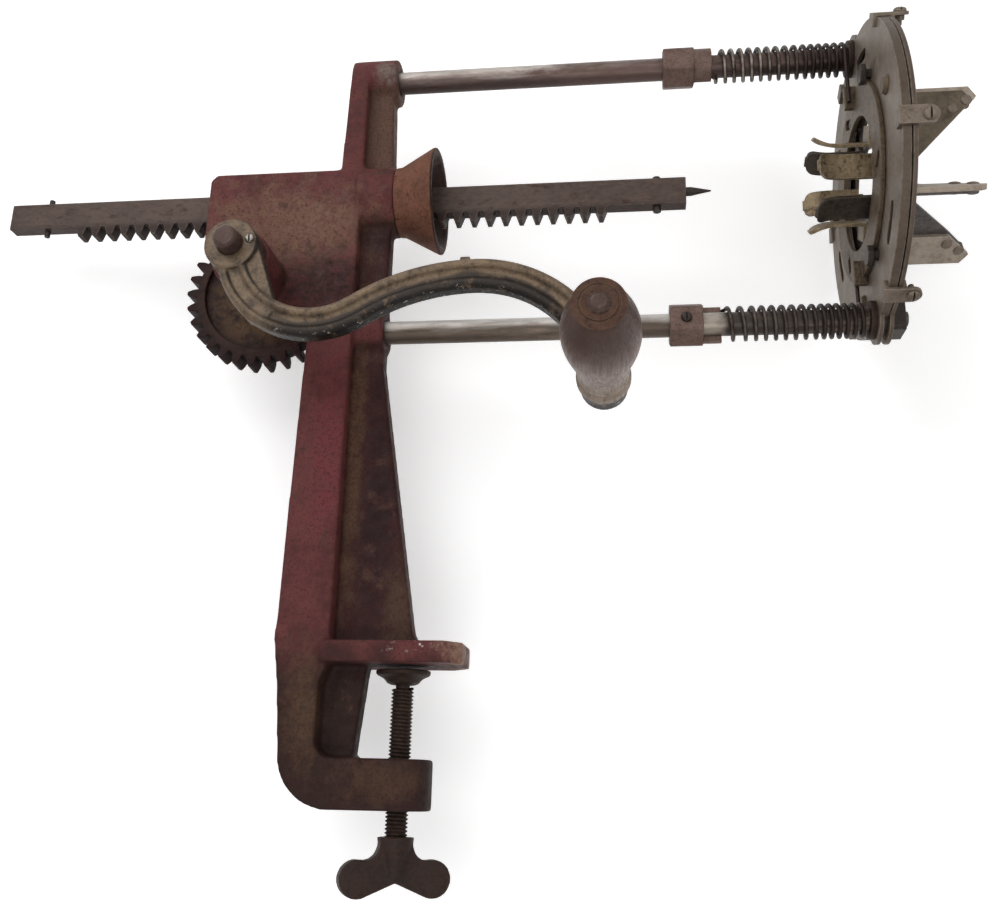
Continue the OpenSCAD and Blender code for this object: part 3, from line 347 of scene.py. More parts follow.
def gear_wear(tree, at, axes, lean, colour):
    """Rust and grease in the dish."""
    dish = spot(tree, at, shaft_at / MM, DISH_MM, 0.8)
    rust = noise(tree, at, 9.0, 7.0, 0.7, 0.34, 0.6)
    grease = noise(tree, at, 7.0, 6.0, 0.7, 0.5, 0.64)
    return layers(tree, colour, ("#7d6347", dish, rust, 0.9), ("#1a1210", dish, grease, 0.6))


# Painted cast iron: near-black maroon teeth round a brown dish.
gear_paint = aged_metal(
    "worn_maroon_gear_iron", "#1d1011 #2a1617 #301d1b #211612 #59403a #0f0908",
    blotch_mm=14.0, patch_mm=8.0, metallic=0.0, specular=0.12, roughness=(0.5, 0.7), bump_mm=0.1,
    edge_share=0.5, tint=gear_wear)
print("gear centred on X", round(shaft_at.x / MM, 1), "Z", round(shaft_at.z / MM, 1))

# %% [markdown]
# ## Black crank
# The crank was painted black. Hands have rubbed its upper side to brown iron, its lower side has kept the
# black, and its lowest edge has bright chips. These bands follow the bent arm, so a height in the room won't
# find them. The arm's middle line is measured on the solid at stations along X and put in a curve node, and
# the bands are heights above that line. Near the hub the arm turns down, so the neck there wears evenly, and
# the neck's side that faces +X is darkened as painted shade.

# %% Crank iron
arm_low, arm_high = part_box("crank_arm")
ARM_STATIONS = 36
NECK_ENDS = (shaft_at.x + 36 * MM, shaft_at.x + 16 * MM)


def arm_middles():
    """Share of the arm's height at its middle for each share of its length, measured on the solid."""
    rows = {}
    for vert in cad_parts["crank_arm"].data.vertices:
        station = int((vert.co.x - arm_low.x) / (arm_high.x - arm_low.x) * ARM_STATIONS)
        rows.setdefault(station, []).append((vert.co.z - arm_low.z) / (arm_high.z - arm_low.z))
    return [((s + 0.5) / ARM_STATIONS, (min(zs) + max(zs)) / 2) for s, zs in sorted(rows.items())]


def height_above_middle(tree, axes):
    """How far a place lies above the arm's middle line."""
    span = {"From Min": arm_low.x, "From Max": arm_high.x}
    along = add(tree, "ShaderNodeMapRange", span, {"Value": axes["X"]})
    curve = add(tree, "ShaderNodeFloatCurve", {}, {"Value": along})
    points = curve.node.mapping.curves[0].points
    middles = arm_middles()
    points[0].location, points[-1].location = (0, middles[0][1]), (1, middles[-1][1])
    for share, level in middles:
        points.new(share, level)
    curve.node.mapping.update()
    height = {"To Min": arm_low.z, "To Max": arm_high.z}
    middle_z = add(tree, "ShaderNodeMapRange", height, {"Value": curve})
    return add(tree, "ShaderNodeMath", {"operation": "SUBTRACT"}, {0: axes["Z"], 1: middle_z})


def crank_wear(tree, at, axes, lean, colour):
    """Brown above the middle line, black below it, painted shade on the neck's side that faces +X, and chips
    along the lowest edge.
    """
    above = height_above_middle(tree, axes)
    mottle = noise(tree, at, 7.0, 7.0, 0.7, 0.24, 0.66)
    neck = ramp(tree, axes["X"], *NECK_ENDS)
    bend = ramp(tree, axes["X"], *NECK_ENDS[::-1])
    crest = product(tree, bend, ramp(tree, above, -1.0 * MM, 1.5 * MM))
    upper = add(tree, "ShaderNodeMath", {"operation": "MAXIMUM"}, {0: product(tree, neck, 0.7), 1: crest})
    lip = product(tree, bend, ramp(tree, above, -5.5 * MM, -8.0 * MM))
    flakes = noise(tree, at, 2.6, 6.0, 0.75, 0.6, 0.66)
    return layers(
        tree, colour,
        ("#84705a", upper, mottle, 0.95),
        ("#272321", bend, ramp(tree, above, 0.0, -2.5 * MM), 0.68),
        # Painted shade on the side of the neck that faces +X.
        ("#211f1f", neck, ramp(tree, lean["X"], 0.25, 0.6), 0.9),
        ("#120e0c", lip, 0.85),
        ("#b9b2a8", lip, flakes))


# Black-painted cast iron: a half-matt black with brown ridges and a few bright chips.
black_iron = aged_metal(
    "black_cast_iron_with_worn_ridges", "#28211e #382f29 #4c4036 #62513f #9a8769 #0d0a09",
    patch_mm=7.0, patches=(0.52, 0.72), edge_mm=1.6, edge_share=0.5, metallic=0.25,
    roughness=(0.34, 0.56), bump_mm=0.14, tint=crank_wear)
print("arm measured at", len(arm_middles()), "stations")

# %% [markdown]
# ## Rack, clamp, collar and shaft iron
# These pieces show no paint. The rack slides in the housing, which keeps its sides clean, and its teeth are
# dark with grease. The clamp is brown-black as from old oil, and the collars and the shaft are reddish.

# %% Bare iron
TEETH_HEIGHTS = (257 * MM, 252 * MM)


def rack_wear(tree, at, axes, lean, colour):
    """Dark teeth."""
    return layers(tree, colour, ("#2a201d", ramp(tree, axes["Z"], *TEETH_HEIGHTS), 0.8))


# Cast iron that slides: a dark grey-brown bar with blotches drawn out along it.
rack_iron = aged_metal(
    "dark_rack_iron", "#443834 #53453f #60514a #3a2a24 #8d8075 #1a1311",
    blotch_mm=20.0, metallic=0.2, specular=0.15, roughness=(0.42, 0.6), bump_mm=0.06,
    stretch=(0.5, 1, 1), tint=rack_wear)
# Oiled iron: nearly black, with brown only on the edges.
clamp_iron = aged_metal(
    "dark_brown_clamp_iron", "#231a16 #2f231f #3b2a24 #231814 #675242 #0e0908",
    blotch_mm=10.0, metallic=0.1, specular=0.15, roughness=(0.46, 0.66), bump_mm=0.1)
# Cast iron with a thin patina: a reddish brown with lighter, rubbed corners.
collar_iron = aged_metal(
    "reddish_brown_collar_iron", "#544139 #695650 #776157 #664f49 #a3907f #1f1512",
    blotch_mm=7.0, patch_mm=4.0, metallic=0.25, roughness=(0.4, 0.6), bump_mm=0.08)
# Turned iron: a dark brown end with a bright rim.
shaft_iron = aged_metal(
    "dark_shaft_iron", "#3a2a27 #4b3834 #594740 #40291f #a99d92 #17100e",
    blotch_mm=6.0, patch_mm=4.0, metallic=0.25, roughness=(0.4, 0.6), bump_mm=0.08)
print("iron finishes made:", len(bpy.data.materials))

# %% [markdown]
# ## Drawn rods
# The guide rods are drawn steel. Light falls on their upper side, so a painted highlight makes a band there
# bright and painted shade makes the under side brown, with streaks along the bar where the noise is
# stretched. The upper rod is browner and dulls well ahead of its collar. Under the springs both are dark.

# %% Rod steel
collar_low, collar_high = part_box("upper_collar")
STREAK = (0.15, 1, 1)
LIT_SPAN, SHADE_LEAD, SHADE_SPAN = 0.55, 0.1, 0.55
DULL_FADE, OIL_STARTS = 14 * MM, (2 * MM, 12 * MM)


def rod_wear(top, below, dull, dull_ahead_mm, lit_from):
    """A tint with a painted highlight on top, painted shade on the under side, a dull length from before the
    collar on, and a dark length under the spring.
    """

    def tint(tree, at, axes, lean, colour):
        drawn = add(tree, "ShaderNodeMapping", {"Scale": STREAK}, {"Vector": at})
        turn = wander(tree, lean["Z"], drawn, 5, 1.2)
        ahead = wander(tree, axes["X"], at, 9, 16 * MM)
        shade_from = lit_from + SHADE_LEAD
        dull_from = collar_low.x - dull_ahead_mm * MM
        return layers(
            tree, colour,
            # Painted highlight on the upper side and painted shade on the under side.
            (top, ramp(tree, turn, lit_from, lit_from + LIT_SPAN), 0.85),
            (below, ramp(tree, turn, shade_from, shade_from - SHADE_SPAN), 0.9),
            (dull, ramp(tree, ahead, dull_from, dull_from + DULL_FADE), 0.7),
            ("#261e1b", ramp(tree, ahead, *[collar_high.x + start for start in OIL_STARTS]), 0.9))

    return tint


# Drawn steel: pale grey streaks of painted highlight on top, olive brown painted shade below.
rod_steel = aged_metal(
    "drawn_rod_steel", "#7c736c #928b84 #a7a19b #716357 #c2bdb5 #2c221d",
    blotch_mm=26.0, patch_mm=14.0, patches=(0.5, 0.7), metallic=0.45, roughness=(0.3, 0.5),
    grit_mm=0.5, speck=0.2, stretch=(0.25, 1, 1),
    tint=rod_wear("#cdc8c3", "#4a3d33", "#9a9084", -7, 0.6))
# Drawn steel with a thicker patina: a plum brown bar with one pale streak of painted highlight by the post.
brown_rod_steel = aged_metal(
    "brown_rod_steel", "#6b5c57 #857873 #9d938d #5a4842 #b4aca4 #241b18",
    blotch_mm=40.0, patch_mm=18.0, patches=(0.46, 0.64), roughness=(0.32, 0.52), grit_mm=0.5,
    bump_mm=0.04, speck=0.2, stretch=(0.25, 1, 1),
    tint=rod_wear("#c4bcb5", "#3a2c29", "#5d4a45", 60, 0.3))
print("collars from X", round(collar_low.x / MM), "to", round(collar_high.x / MM), "mm")

# %% [markdown]
# ## Plated head
# The head is pressed sheet that was nickel plated and has gone tan. The rims of its two plates have lost
# their nickel and are brown, so a tint finds the faces that look outwards. The fingers touch every ear of
# corn: most are rubbed to a bronze shine, and two are dark with the jaws' finish. The cam ring and the jaws
# lie deeper and are darker, and the near-black of the jaws' finish is painted shade.


# %% Nickel and jaw finishes
def rim_wear(tree, at, axes, lean, colour):
    """Brown rims."""
    across = add(tree, "ShaderNodeMath", {"operation": "ABSOLUTE"}, {0: lean["X"]})
    return layers(tree, colour, ("#453930", ramp(tree, across, 0.65, 0.35), 0.75))


# Tarnished nickel plate on sheet: a soft warm grey with brown rims and a pale line on the edges.
plate_nickel = aged_metal(
    "tarnished_plate_nickel", "#5d5248 #766b60 #887c6f #574a3f #b0a392 #1f1813",
    blotch_mm=18.0, patch_mm=7.0, patches=(0.56, 0.78), bump_mm=0.04, edge_mm=0.8, speck=0.22,
    tint=rim_wear)
# Tarnished nickel on clips and rivets: the same plate, a little darker.
tan_nickel = aged_metal(
    "tarnished_tan_nickel", "#564b41 #6d6257 #7f7265 #4f4034 #aa9d8b #1f1813",
    blotch_mm=18.0, patch_mm=6.0, patches=(0.56, 0.76), bump_mm=0.04, edge_mm=0.8, speck=0.25)
# Nickel rubbed through to bronze: a yellow-brown with dark stains.
bronze_nickel = aged_metal(
    "rubbed_bronze_nickel", "#5f503d #7a6952 #8f7f66 #4a3c2b #bbae95 #1a130f",
    patch_mm=6.0, patches=(0.5, 0.68), roughness=(0.36, 0.54), bump_mm=0.04, edge_mm=0.8)
# Worn nickel on the knife arms: the palest plate on the tool.
arm_nickel = aged_metal(
    "worn_arm_nickel", "#7a6e62 #968a7c #a89c8e #6a584a #c8beb0 #251c17",
    blotch_mm=12.0, patches=(0.56, 0.76), roughness=(0.4, 0.56), bump_mm=0.05, edge_mm=0.8, speck=0.22)
# Nickel under old oil: a brown ring against the grey plates.
brown_nickel = aged_metal(
    "brown_ring_nickel", "#43382e #5b4d3e #6b5b48 #3b2d24 #8f8270 #16110d",
    metallic=0.3, roughness=(0.42, 0.6), bump_mm=0.05, edge_mm=0.7)
# Stained steel darkened to nearly black as painted shade for pieces deep in the head, so that the pieces in
# front of it stand out.
jaw_steel = aged_metal(
    "jaw_steel_with_painted_shade", "#2e2823 #3f3730 #4f453b #342921 #857968 #110d0b",
    metallic=0.3, bump_mm=0.05, edge_mm=0.7)
print("finishes so far:", len(bpy.data.materials))

# %% [markdown]
# ## Knives and fasteners
# The knives are hardened steel, ground flat. Two have gone grey-brown and the upper one olive brown. Nuts
# and pins are darkened steel, and the set screw in the crank's hub is bright.

# %% Hardened and fastener steel
# Hardened steel: a smooth grey-brown with a fine pale edge.
knife_steel = aged_metal(
    "grey_brown_knife_steel", "#443e3b #57514f #686361 #4b4038 #a5a09a #1e1a19",
    blotch_mm=12.0, patch_mm=6.0, patches=(0.52, 0.7), roughness=(0.36, 0.52), edge_mm=0.8)
# Hardened steel browned by sap: olive, with broad soft stains.
browned_knife_steel = aged_metal(
    "browned_knife_steel", "#423930 #574d40 #685d4d #3d332a #a59a88 #1e1a17",
    blotch_mm=16.0, patch_mm=8.0, patches=(0.52, 0.74), roughness=(0.36, 0.52), edge_mm=0.8,
    speck=0.22)
# Oil-darkened steel: small black-brown lumps with rubbed corners.
dark_steel = aged_metal(
    "darkened_fastener_steel", "#231e1c #312a27 #423a34 #382b24 #857a6b #0d0a09",
    blotch_mm=5.0, patch_mm=3.0, metallic=0.3, roughness=(0.38, 0.56), bump_mm=0.05, edge_mm=0.6)
# Bright screw steel: a small light dot on the dark hub.
bright_steel = aged_metal(
    "bright_screw_steel", "#6f6962 #868079 #9d978f #5f5349 #c9c3bb #2f2722",
    blotch_mm=4.0, patch_mm=3.0, metallic=0.6, roughness=(0.26, 0.42), edge_mm=0.5)
print("metal finishes:", len(bpy.data.materials))

# %% [markdown]
# ## Weathered hardwood
# The grip is a turned hardwood barrel that has lost its varnish. Its grain runs along the spindle, so noise
# is drawn out along Y, with pores drawn coarser than real ones, which wouldn't show. The end by the washer
# is stained dark with rust, and the bead by the crank is bleached grey, so the stain fades along the grip.

# %% Wood finish
spindle = middle("handle_spindle")
grip_low, grip_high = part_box("handle_grip")
GRAIN_STRETCH = (1, 0.06, 1)
HANDLED_FROM = (grip_high.y - 3 * MM, grip_high.y - 22 * MM)
STAINED_FROM = (grip_low.y + 50 * MM, grip_low.y + 16 * MM)
DARK_RIM = (grip_high.y - 3 * MM, grip_high.y - 1 * MM)


def weathered_wood(name):
    """Grey hardwood with grain along Y, browner where it is held, stained at the washer, and with painted
    shade in its hollows.
    """
    material, tree, shader = new_material(name)
    at = add(tree, "ShaderNodeTexCoord").node.outputs["Object"]
    centred = add(tree, "ShaderNodeMapping", {"Location": (-spindle.x, 0, -spindle.z)}, {"Vector": at})
    drawn = add(tree, "ShaderNodeMapping", {"Scale": GRAIN_STRETCH}, {"Vector": centred})
    grain = noise(tree, drawn, 1.1, 5.0, 0.65, 0.32, 0.68)
    pores = noise(tree, drawn, 0.45, 3.0, 0.6, 0.6, 0.7)
    along = add(tree, "ShaderNodeSeparateXYZ", {}, {"Vector": at}).node.outputs["Y"]
    ragged = wander(tree, along, centred, 10, 16 * MM)
    shade = {"samples": 4, "Distance": CORNER_MM * MM}
    open_sky = add(tree, "ShaderNodeAmbientOcclusion", shade).node.outputs["AO"]
    colour = layers(
        tree, "#8f7e70",
        ("#aa9988", noise(tree, centred, 13.0, 5.0)),
        ("#6c5d54", grain, 0.5),
        ("#6c5047", ramp(tree, ragged, *HANDLED_FROM), 0.85),
        ("#3a241b", ramp(tree, ragged, *STAINED_FROM), 0.88),
        ("#46352d", ramp(tree, along, *DARK_RIM), 0.8),
        ("#2c211d", pores, 0.75),
        ("#2f231e", noise(tree, centred, 4.0, 6.0, 0.7, 0.52, 0.66), 0.5),
        # Painted shade where ambient occlusion finds hollows and pieces close by.
        ("#2a1f1b", ramp(tree, open_sky, 0.7, 0.2), 0.7))
    gloss = add(tree, "ShaderNodeMapRange", {"To Min": 0.3, "To Max": 0.52}, {"Value": grain})
    cut = add(tree, "ShaderNodeMath", {"operation": "MULTIPLY_ADD", 1: 1.5}, {0: pores, 2: grain})
    carved = {"Strength": 0.5, "Distance": 0.12 * MM, "invert": True}
    relief = add(tree, "ShaderNodeBump", carved, {"Height": cut})
    feed(tree, shader, colour, gloss, relief, 0.25)
    return material


# Weathered hardwood: grey-brown with fine dark grain, a soft sheen where hands polish it.
grip_wood = weathered_wood("weathered_grey_hardwood")
print("grip centred on X", round(spindle.x / MM, 1), "Z", round(spindle.z / MM, 1))

# %% [markdown]
# ## Blackened spring wire
# The wire is black, and its outer crest has a painted highlight in the curls near the collar. Where the
# crest lies is known when the wire is wound, so the winding below stores it on the mesh as a float attribute
# of its vertices, and this finish reads it.


# %% Spring finish
def crest_wear(tree, at, axes, lean, colour):
    """Painted highlight on the crests."""
    crest = add(tree, "ShaderNodeAttribute", {"attribute_name": "rubbed"}).node.outputs["Fac"]
    return layers(tree, colour, ("#a59a8e", crest, noise(tree, at, 6.0, 5.0, 0.6, 0.3, 0.6)))


# Blackened spring wire: dark curls with a painted highlight line on their crests.
spring_black = aged_metal(
    "blackened_spring_wire", "#1e1715 #2b211e #3a2b26 #3b2822 #8a7e73 #0d0908",
    metallic=0.3, roughness=(0.36, 0.52), edge_mm=0.5, tint=crest_wear)
print("spring finish:", spring_black.name)

# %% [markdown]
# ## Finishes on the CAD nodes
# Castings have soft corners everywhere, inside and out, because sand moulds can't hold a sharp one. A bevel
# cuts the corners, a voxel remesh gives the piece one skin, and a little smoothing rounds that skin. Pressed
# and turned pieces keep crisp faces and get only a narrow bevel. A bevel needs whole faces, so the CAD's
# triangles are welded and flat ones joined first. These are modifiers: the CAD meshes stay untouched. Nodes
# that are modelled again further down need no finish here.

# %% Soft castings and broken edges
FLAT, SHARP = math.radians(0.5), math.radians(32)
BROKEN_EDGE_MM = 0.35
WELD = 0.001 * MM


def cut_edges(piece, name, width_mm):
    """Joins a piece's triangles to whole faces and bevels the sharp edges."""
    weld = piece.modifiers.new("weld", "WELD")
    weld.merge_threshold = WELD
    flats = piece.modifiers.new("flats", "DECIMATE")
    flats.decimate_type = "DISSOLVE"
    flats.angle_limit = FLAT
    bevel = piece.modifiers.new(name, "BEVEL")
    bevel.limit_method = "ANGLE"
    bevel.angle_limit = SHARP
    bevel.width = width_mm * MM
    bevel.segments = 2


def soften_casting(piece, voxel_mm):
    """Rounds a cast piece's corners to about the voxel's size."""
    cut_edges(piece, "cut_corners", 0.8 * voxel_mm)
    skin = piece.modifiers.new("cast_skin", "REMESH")
    skin.mode = "VOXEL"
    skin.voxel_size = voxel_mm * MM
    skin.use_smooth_shade = True
    smooth = piece.modifiers.new("soft_corners", "SMOOTH")
    smooth.factor = 0.5
    smooth.iterations = 5


castings = {"frame_casting": 1.3, "ear_funnel": 0.6, "clamp_wing": 0.6, "clamp_pad": 0.4,
            "upper_collar": 0.45, "lower_collar": 0.45}
finishes = {
    maroon_paint: ["frame_casting"],
    rust_iron: ["ear_funnel"],
    gear_paint: ["drive_gear"],
    rack_iron: ["rack_bar"],
    clamp_iron: ["clamp_wing", "clamp_pad", "upper_spring_washer", "lower_spring_washer"],
    collar_iron: ["upper_collar", "lower_collar"],
    shaft_iron: ["crank_shaft", "handle_spindle"],
    rod_steel: ["lower_guide_rod"],
    brown_rod_steel: ["upper_guide_rod"],
    plate_nickel: ["head_front_plate", "head_rear_plate"],
    tan_nickel: ["rim_clips"],
    bronze_nickel: [f"guide_finger_{k}" for k in (2, 3, 5, 6)],
    arm_nickel: [f"knife_arm_{k}" for k in range(1, 4)],
    brown_nickel: ["cam_ring", "jaw_pivots"],
    jaw_steel: ["jaw_1", "jaw_2", "jaw_3", "guide_finger_1", "guide_finger_4"],
    browned_knife_steel: ["knife_1"],
    knife_steel: ["knife_2", "knife_3"],
    dark_steel: ["ring_keepers", "plate_spacers", "upper_rod_nut", "lower_rod_nut", "neck_screw",
                 "rear_stop_pin", "front_stop_pin", "ear_spike"],
}
for finish, nodes in finishes.items():
    for node in nodes:
        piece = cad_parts[node]
        piece.data.materials.clear()
        piece.data.materials.append(finish)
        if node in castings:
            soften_casting(piece, castings[node])
        else:
            cut_edges(piece, "broken_edges", BROKEN_EDGE_MM)
            piece.modifiers.new("flat_normals", "WEIGHTED_NORMAL").keep_sharp = True
print("nodes with a finish:", sum(len(nodes) for nodes in finishes.values()))

# %% [markdown]
# ## New pieces ride on a CAD body
# A piece modelled here is built in place in the CAD's own frame. It gets its material and is parented to an
# empty named for the body that carries it, or, when it has a bend, keeps its place baked into its mesh. The
# CAD nodes that it stands for are hidden. Doubles are merged and the faces are turned outwards first,
# because spun and mirrored shapes can come out inside out.


# %% Helpers for new pieces
MERGE = 0.002 * MM


def show(name, data):
    """A new object in the scene."""
    made = bpy.data.objects.new(name, data)
    bpy.context.scene.collection.objects.link(made)
    return made


def make_piece(bm, name, body, slot, material, stands_for=(), crease_deg=35, bends_to=None):
    """Bends_to is (other body, start, end); when it is given, the piece's place is baked into its mesh
    instead of following a body, and its entries are not used.
    """
    bmesh.ops.remove_doubles(bm, verts=bm.verts, dist=MERGE)
    bmesh.ops.recalc_face_normals(bm, faces=bm.faces)
    mesh = bpy.data.meshes.new(name)
    bm.to_mesh(mesh)
    bm.free()
    mesh.polygons.foreach_set("use_smooth", [True] * len(mesh.polygons))
    mesh.set_sharp_from_angle(angle=math.radians(crease_deg))
    mesh.materials.append(material)
    piece = show(name, mesh)
    if bends_to:
        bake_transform(piece)
    else:
        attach(piece, body)
    if stands_for:
        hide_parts(*stands_for)
    print(name, "faces:", len(mesh.polygons))
    return piece


# %% [markdown]
# ## Torsion springs
# Each spring is one round wire: a short lead that hooks the collar's claw, some fifteen curls round the rod
# and a straight tail that presses a lug of the cam ring. The CAD wire is a six-sided stand-in. Here a small
# circle is spun round the rod with a step ahead at each turn, and its last ring is drawn out for the tail.
# The lower spring was pushed up against the head, so its last curls sit closer together. When the ring
# turns, its lug pushes the tail aside. Here the tail is drawn out in short lengths, and the spring keeps its
# place baked into its mesh.

# %% Wind the springs
WIRE_R = 1.1 * MM
CURL_STEPS = 32
TAIL_STEPS = 12
LUG_REACH = 58 * MM
LEAD_X, LEAD = 2.2 * WIRE_R, (-1.4 * WIRE_R, -1.6 * WIRE_R, 0)
CREST_GAIN, FADE_GAIN, FADE_END = 3.2, 2.4, 0.7
ring_z = middle("cam_ring").z


def wind(bm, ring, curls, pitch):
    """Spins a ring of edges about the X axis and returns the ring at the far end."""
    steps = round(curls * CURL_STEPS)
    made = bmesh.ops.spin(bm, geom=ring, cent=(0, 0, 0), axis=(1, 0, 0), dvec=(pitch / CURL_STEPS, 0, 0),
                          angle=steps / CURL_STEPS * 2 * math.pi, steps=steps)
    return [e for e in made["geom_last"] if isinstance(e, bmesh.types.BMEdge)]


def draw_out(bm, ring, offset):
    """Extrudes a ring of edges by an offset and returns the new ring."""
    made = bmesh.ops.extrude_edge_only(bm, edges=ring)["geom"]
    verts = [v for v in made if isinstance(v, bmesh.types.BMVert)]
    bmesh.ops.translate(bm, verts=verts, vec=offset)
    return [e for e in made if isinstance(e, bmesh.types.BMEdge)
            and all(v in verts for v in e.verts)]


def torsion_spring(node, rod, roll, lengths, shine):
    """Lengths are (curls, share of the even pitch) from the collar on. Shine is the strength of the painted
    highlight on the crest.
    """
    low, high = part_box(node)
    axis_z = middle(rod).z
    coil_r = high.y - WIRE_R
    start_x = low.x + LEAD_X
    end_x = high.x - WIRE_R
    even_pitch = (end_x - start_x) / sum(curls * share for curls, share in lengths)
    bm = bmesh.new()
    rubbed = bm.verts.layers.float.new("rubbed")
    ring = bmesh.ops.create_circle(bm, segments=12, radius=WIRE_R)["verts"]
    bmesh.ops.rotate(bm, verts=ring, cent=(0, 0, 0), matrix=Matrix.Rotation(math.radians(90), 3, "X"))
    bmesh.ops.translate(bm, verts=ring, vec=(start_x, 0, -coil_r))
    first = list(bm.edges)
    last = first
    for curls, share in lengths:
        last = wind(bm, last, curls, even_pitch * share)
    # The painted highlight is full on the wire's outermost line, and it fades from the collar towards the
    # head.
    for v in bm.verts:
        crest = (math.hypot(v.co.y, v.co.z) - coil_r) / WIRE_R
        fade = FADE_GAIN * (end_x - v.co.x) / (end_x - start_x) - FADE_END
        v[rubbed] = shine * max(0.0, 1 - CREST_GAIN * (1 - crest)) * min(1.0, max(0.0, fade))
    drop = low.z - axis_z if roll == 0 else axis_z - high.z
    tail = last
    for _ in range(TAIL_STEPS):
        tail = draw_out(bm, tail, (0, 0, drop / TAIL_STEPS))
    lead = draw_out(bm, first, LEAD)
    bmesh.ops.contextual_create(bm, geom=tail)
    bmesh.ops.contextual_create(bm, geom=lead)
    place = Matrix.Translation((0, 0, axis_z)) @ Matrix.Rotation(math.radians(roll), 4, "X")
    bmesh.ops.transform(bm, matrix=place, verts=bm.verts)
    side = math.copysign(1, axis_z - ring_z)
    bend_start = Vector((end_x, 0, axis_z - side * (coil_r + WIRE_R)))
    bend_end = Vector((end_x, 0, ring_z + side * LUG_REACH))
    return make_piece(bm, node + "_wire", "frame", "spring_steel", spring_black, [node],
                      bends_to=("ring", bend_start, bend_end))


torsion_spring("upper_spring", "upper_guide_rod", 0, [(0.75, 1.2), (9.0, 1.05), (5.0, 0.9)], 1.0)
torsion_spring("lower_spring", "lower_guide_rod", 180, [(1.75, 1.35), (7.0, 1.06), (6.0, 0.8)], 0.25)

# %% [markdown]
# ## Clamp screw
# The screw has a cut thread, fourteen to the inch. A thread is a notched profile swept along a helix, so one
# notch of the profile is spun about the screw's axis and steps down by its own height at each turn. The neck
# above turns in the pad, and the lower end is hidden in the wing.

# %% Cut the clamp screw's thread
THREAD_PITCH = 1.814 * MM
THREAD_DEPTH = 0.55 * THREAD_PITCH
THREAD_STEPS = 36
NECK_R, NECK_LAP, SHOULDER_GAP, RUN_OUT = 3.5 * MM, 3 * MM, 0.3 * MM, 0.6 * MM


def thread(bm, crest_r, root_r, top_z, turns):
    """A closed helical thread about the Z axis that runs down from top_z."""
    profile = [(root_r, 0), (crest_r, 0.38), (crest_r, 0.55), (root_r, 0.93), (root_r, 1.0)]
    verts = [bm.verts.new((r, 0, top_z - share * THREAD_PITCH)) for r, share in profile]
    edges = [bm.edges.new(pair) for pair in zip(verts, verts[1:])]
    bmesh.ops.spin(bm, geom=verts + edges, cent=(0, 0, top_z), axis=(0, 0, 1),
                   dvec=(0, 0, -THREAD_PITCH / THREAD_STEPS), angle=turns * 2 * math.pi,
                   steps=turns * THREAD_STEPS)
    bmesh.ops.remove_doubles(bm, verts=bm.verts, dist=MERGE)
    bmesh.ops.holes_fill(bm, edges=[e for e in bm.edges if e.is_boundary], sides=0)


screw_low, screw_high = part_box("clamp_screw")
pad_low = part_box("clamp_pad")[0]
crest_r = (screw_high.x - screw_low.x) / 2
shoulder_z = pad_low.z - SHOULDER_GAP
bm = bmesh.new()
turns = int((shoulder_z - screw_low.z) / THREAD_PITCH) - 1
thread(bm, crest_r, crest_r - THREAD_DEPTH, shoulder_z - RUN_OUT, turns)
neck = bmesh.ops.create_cone(bm, cap_ends=True, segments=36, radius1=NECK_R, radius2=NECK_R,
                             depth=screw_high.z - shoulder_z + NECK_LAP)["verts"]
bmesh.ops.translate(bm, verts=neck, vec=(0, 0, (screw_high.z + shoulder_z - NECK_LAP) / 2))
make_piece(bm, "clamp_screw_thread", "screw", "clamp_steel", clamp_iron, ["clamp_screw"])

# %% [markdown]
# ## Turned wooden grip
# A grip like this is turned on a lathe from one billet: a bead and a waist by the crank, then a long barrel.
# A lathe is a spin, so the half outline is drawn as a chain of edges and spun once round the spindle.


# %% Turn the grip
def lathe(bm, outline, place, steps=32):
    """Spins an outline of (radius, height) once round Z, moves it to its place and returns its vertices."""
    verts = [bm.verts.new((r, 0, h)) for r, h in outline]
    edges = [bm.edges.new(pair) for pair in zip(verts, verts[1:])]
    known = set(bm.verts) - set(verts)
    bmesh.ops.spin(bm, geom=verts + edges, cent=(0, 0, 0), axis=(0, 0, 1), angle=2 * math.pi, steps=steps,
                   use_merge=True)
    made = [v for v in bm.verts if v not in known]
    bmesh.ops.remove_doubles(bm, verts=made, dist=MERGE)
    made = [v for v in bm.verts if v not in known]
    bmesh.ops.transform(bm, matrix=place, verts=made)
    return made


def facing_front(x, y, z):
    """A place at a point, with its Z along -Y."""
    return Matrix.Translation((x, y, z)) @ Matrix.Rotation(math.radians(90), 4, "X")


grip_l = grip_high.y - grip_low.y
grip_r = (grip_high.x - grip_low.x) / 2
BORE_R, BEAD_R, WAIST_R, WAIST_AT, END_H = 4.06 * MM, 13.0 * MM, 11.6 * MM, 14 * MM, 1.2 * MM
BEAD_MM = ((-1.1, 0), (-0.3, 0.5), (0, 1.5), (0, 2.6), (-0.5, 3.0), (0, 3.4), (0, 5), (-0.5, 6))
WAIST_MM = ((0.2, 7.2), (0, 7.8), (0, 8.6), (0.5, 9.4), (0.7, 10.4), (0.4, 12))
BARREL_STEPS = 32


def barrel(share):
    """Radius and height of the barrel at a share of its length. It is thickest past its middle."""
    swell = math.sin(math.pi * share**1.35)
    return WAIST_R + (grip_r - WAIST_R) * swell, WAIST_AT + share * (grip_l - WAIST_AT - END_H)


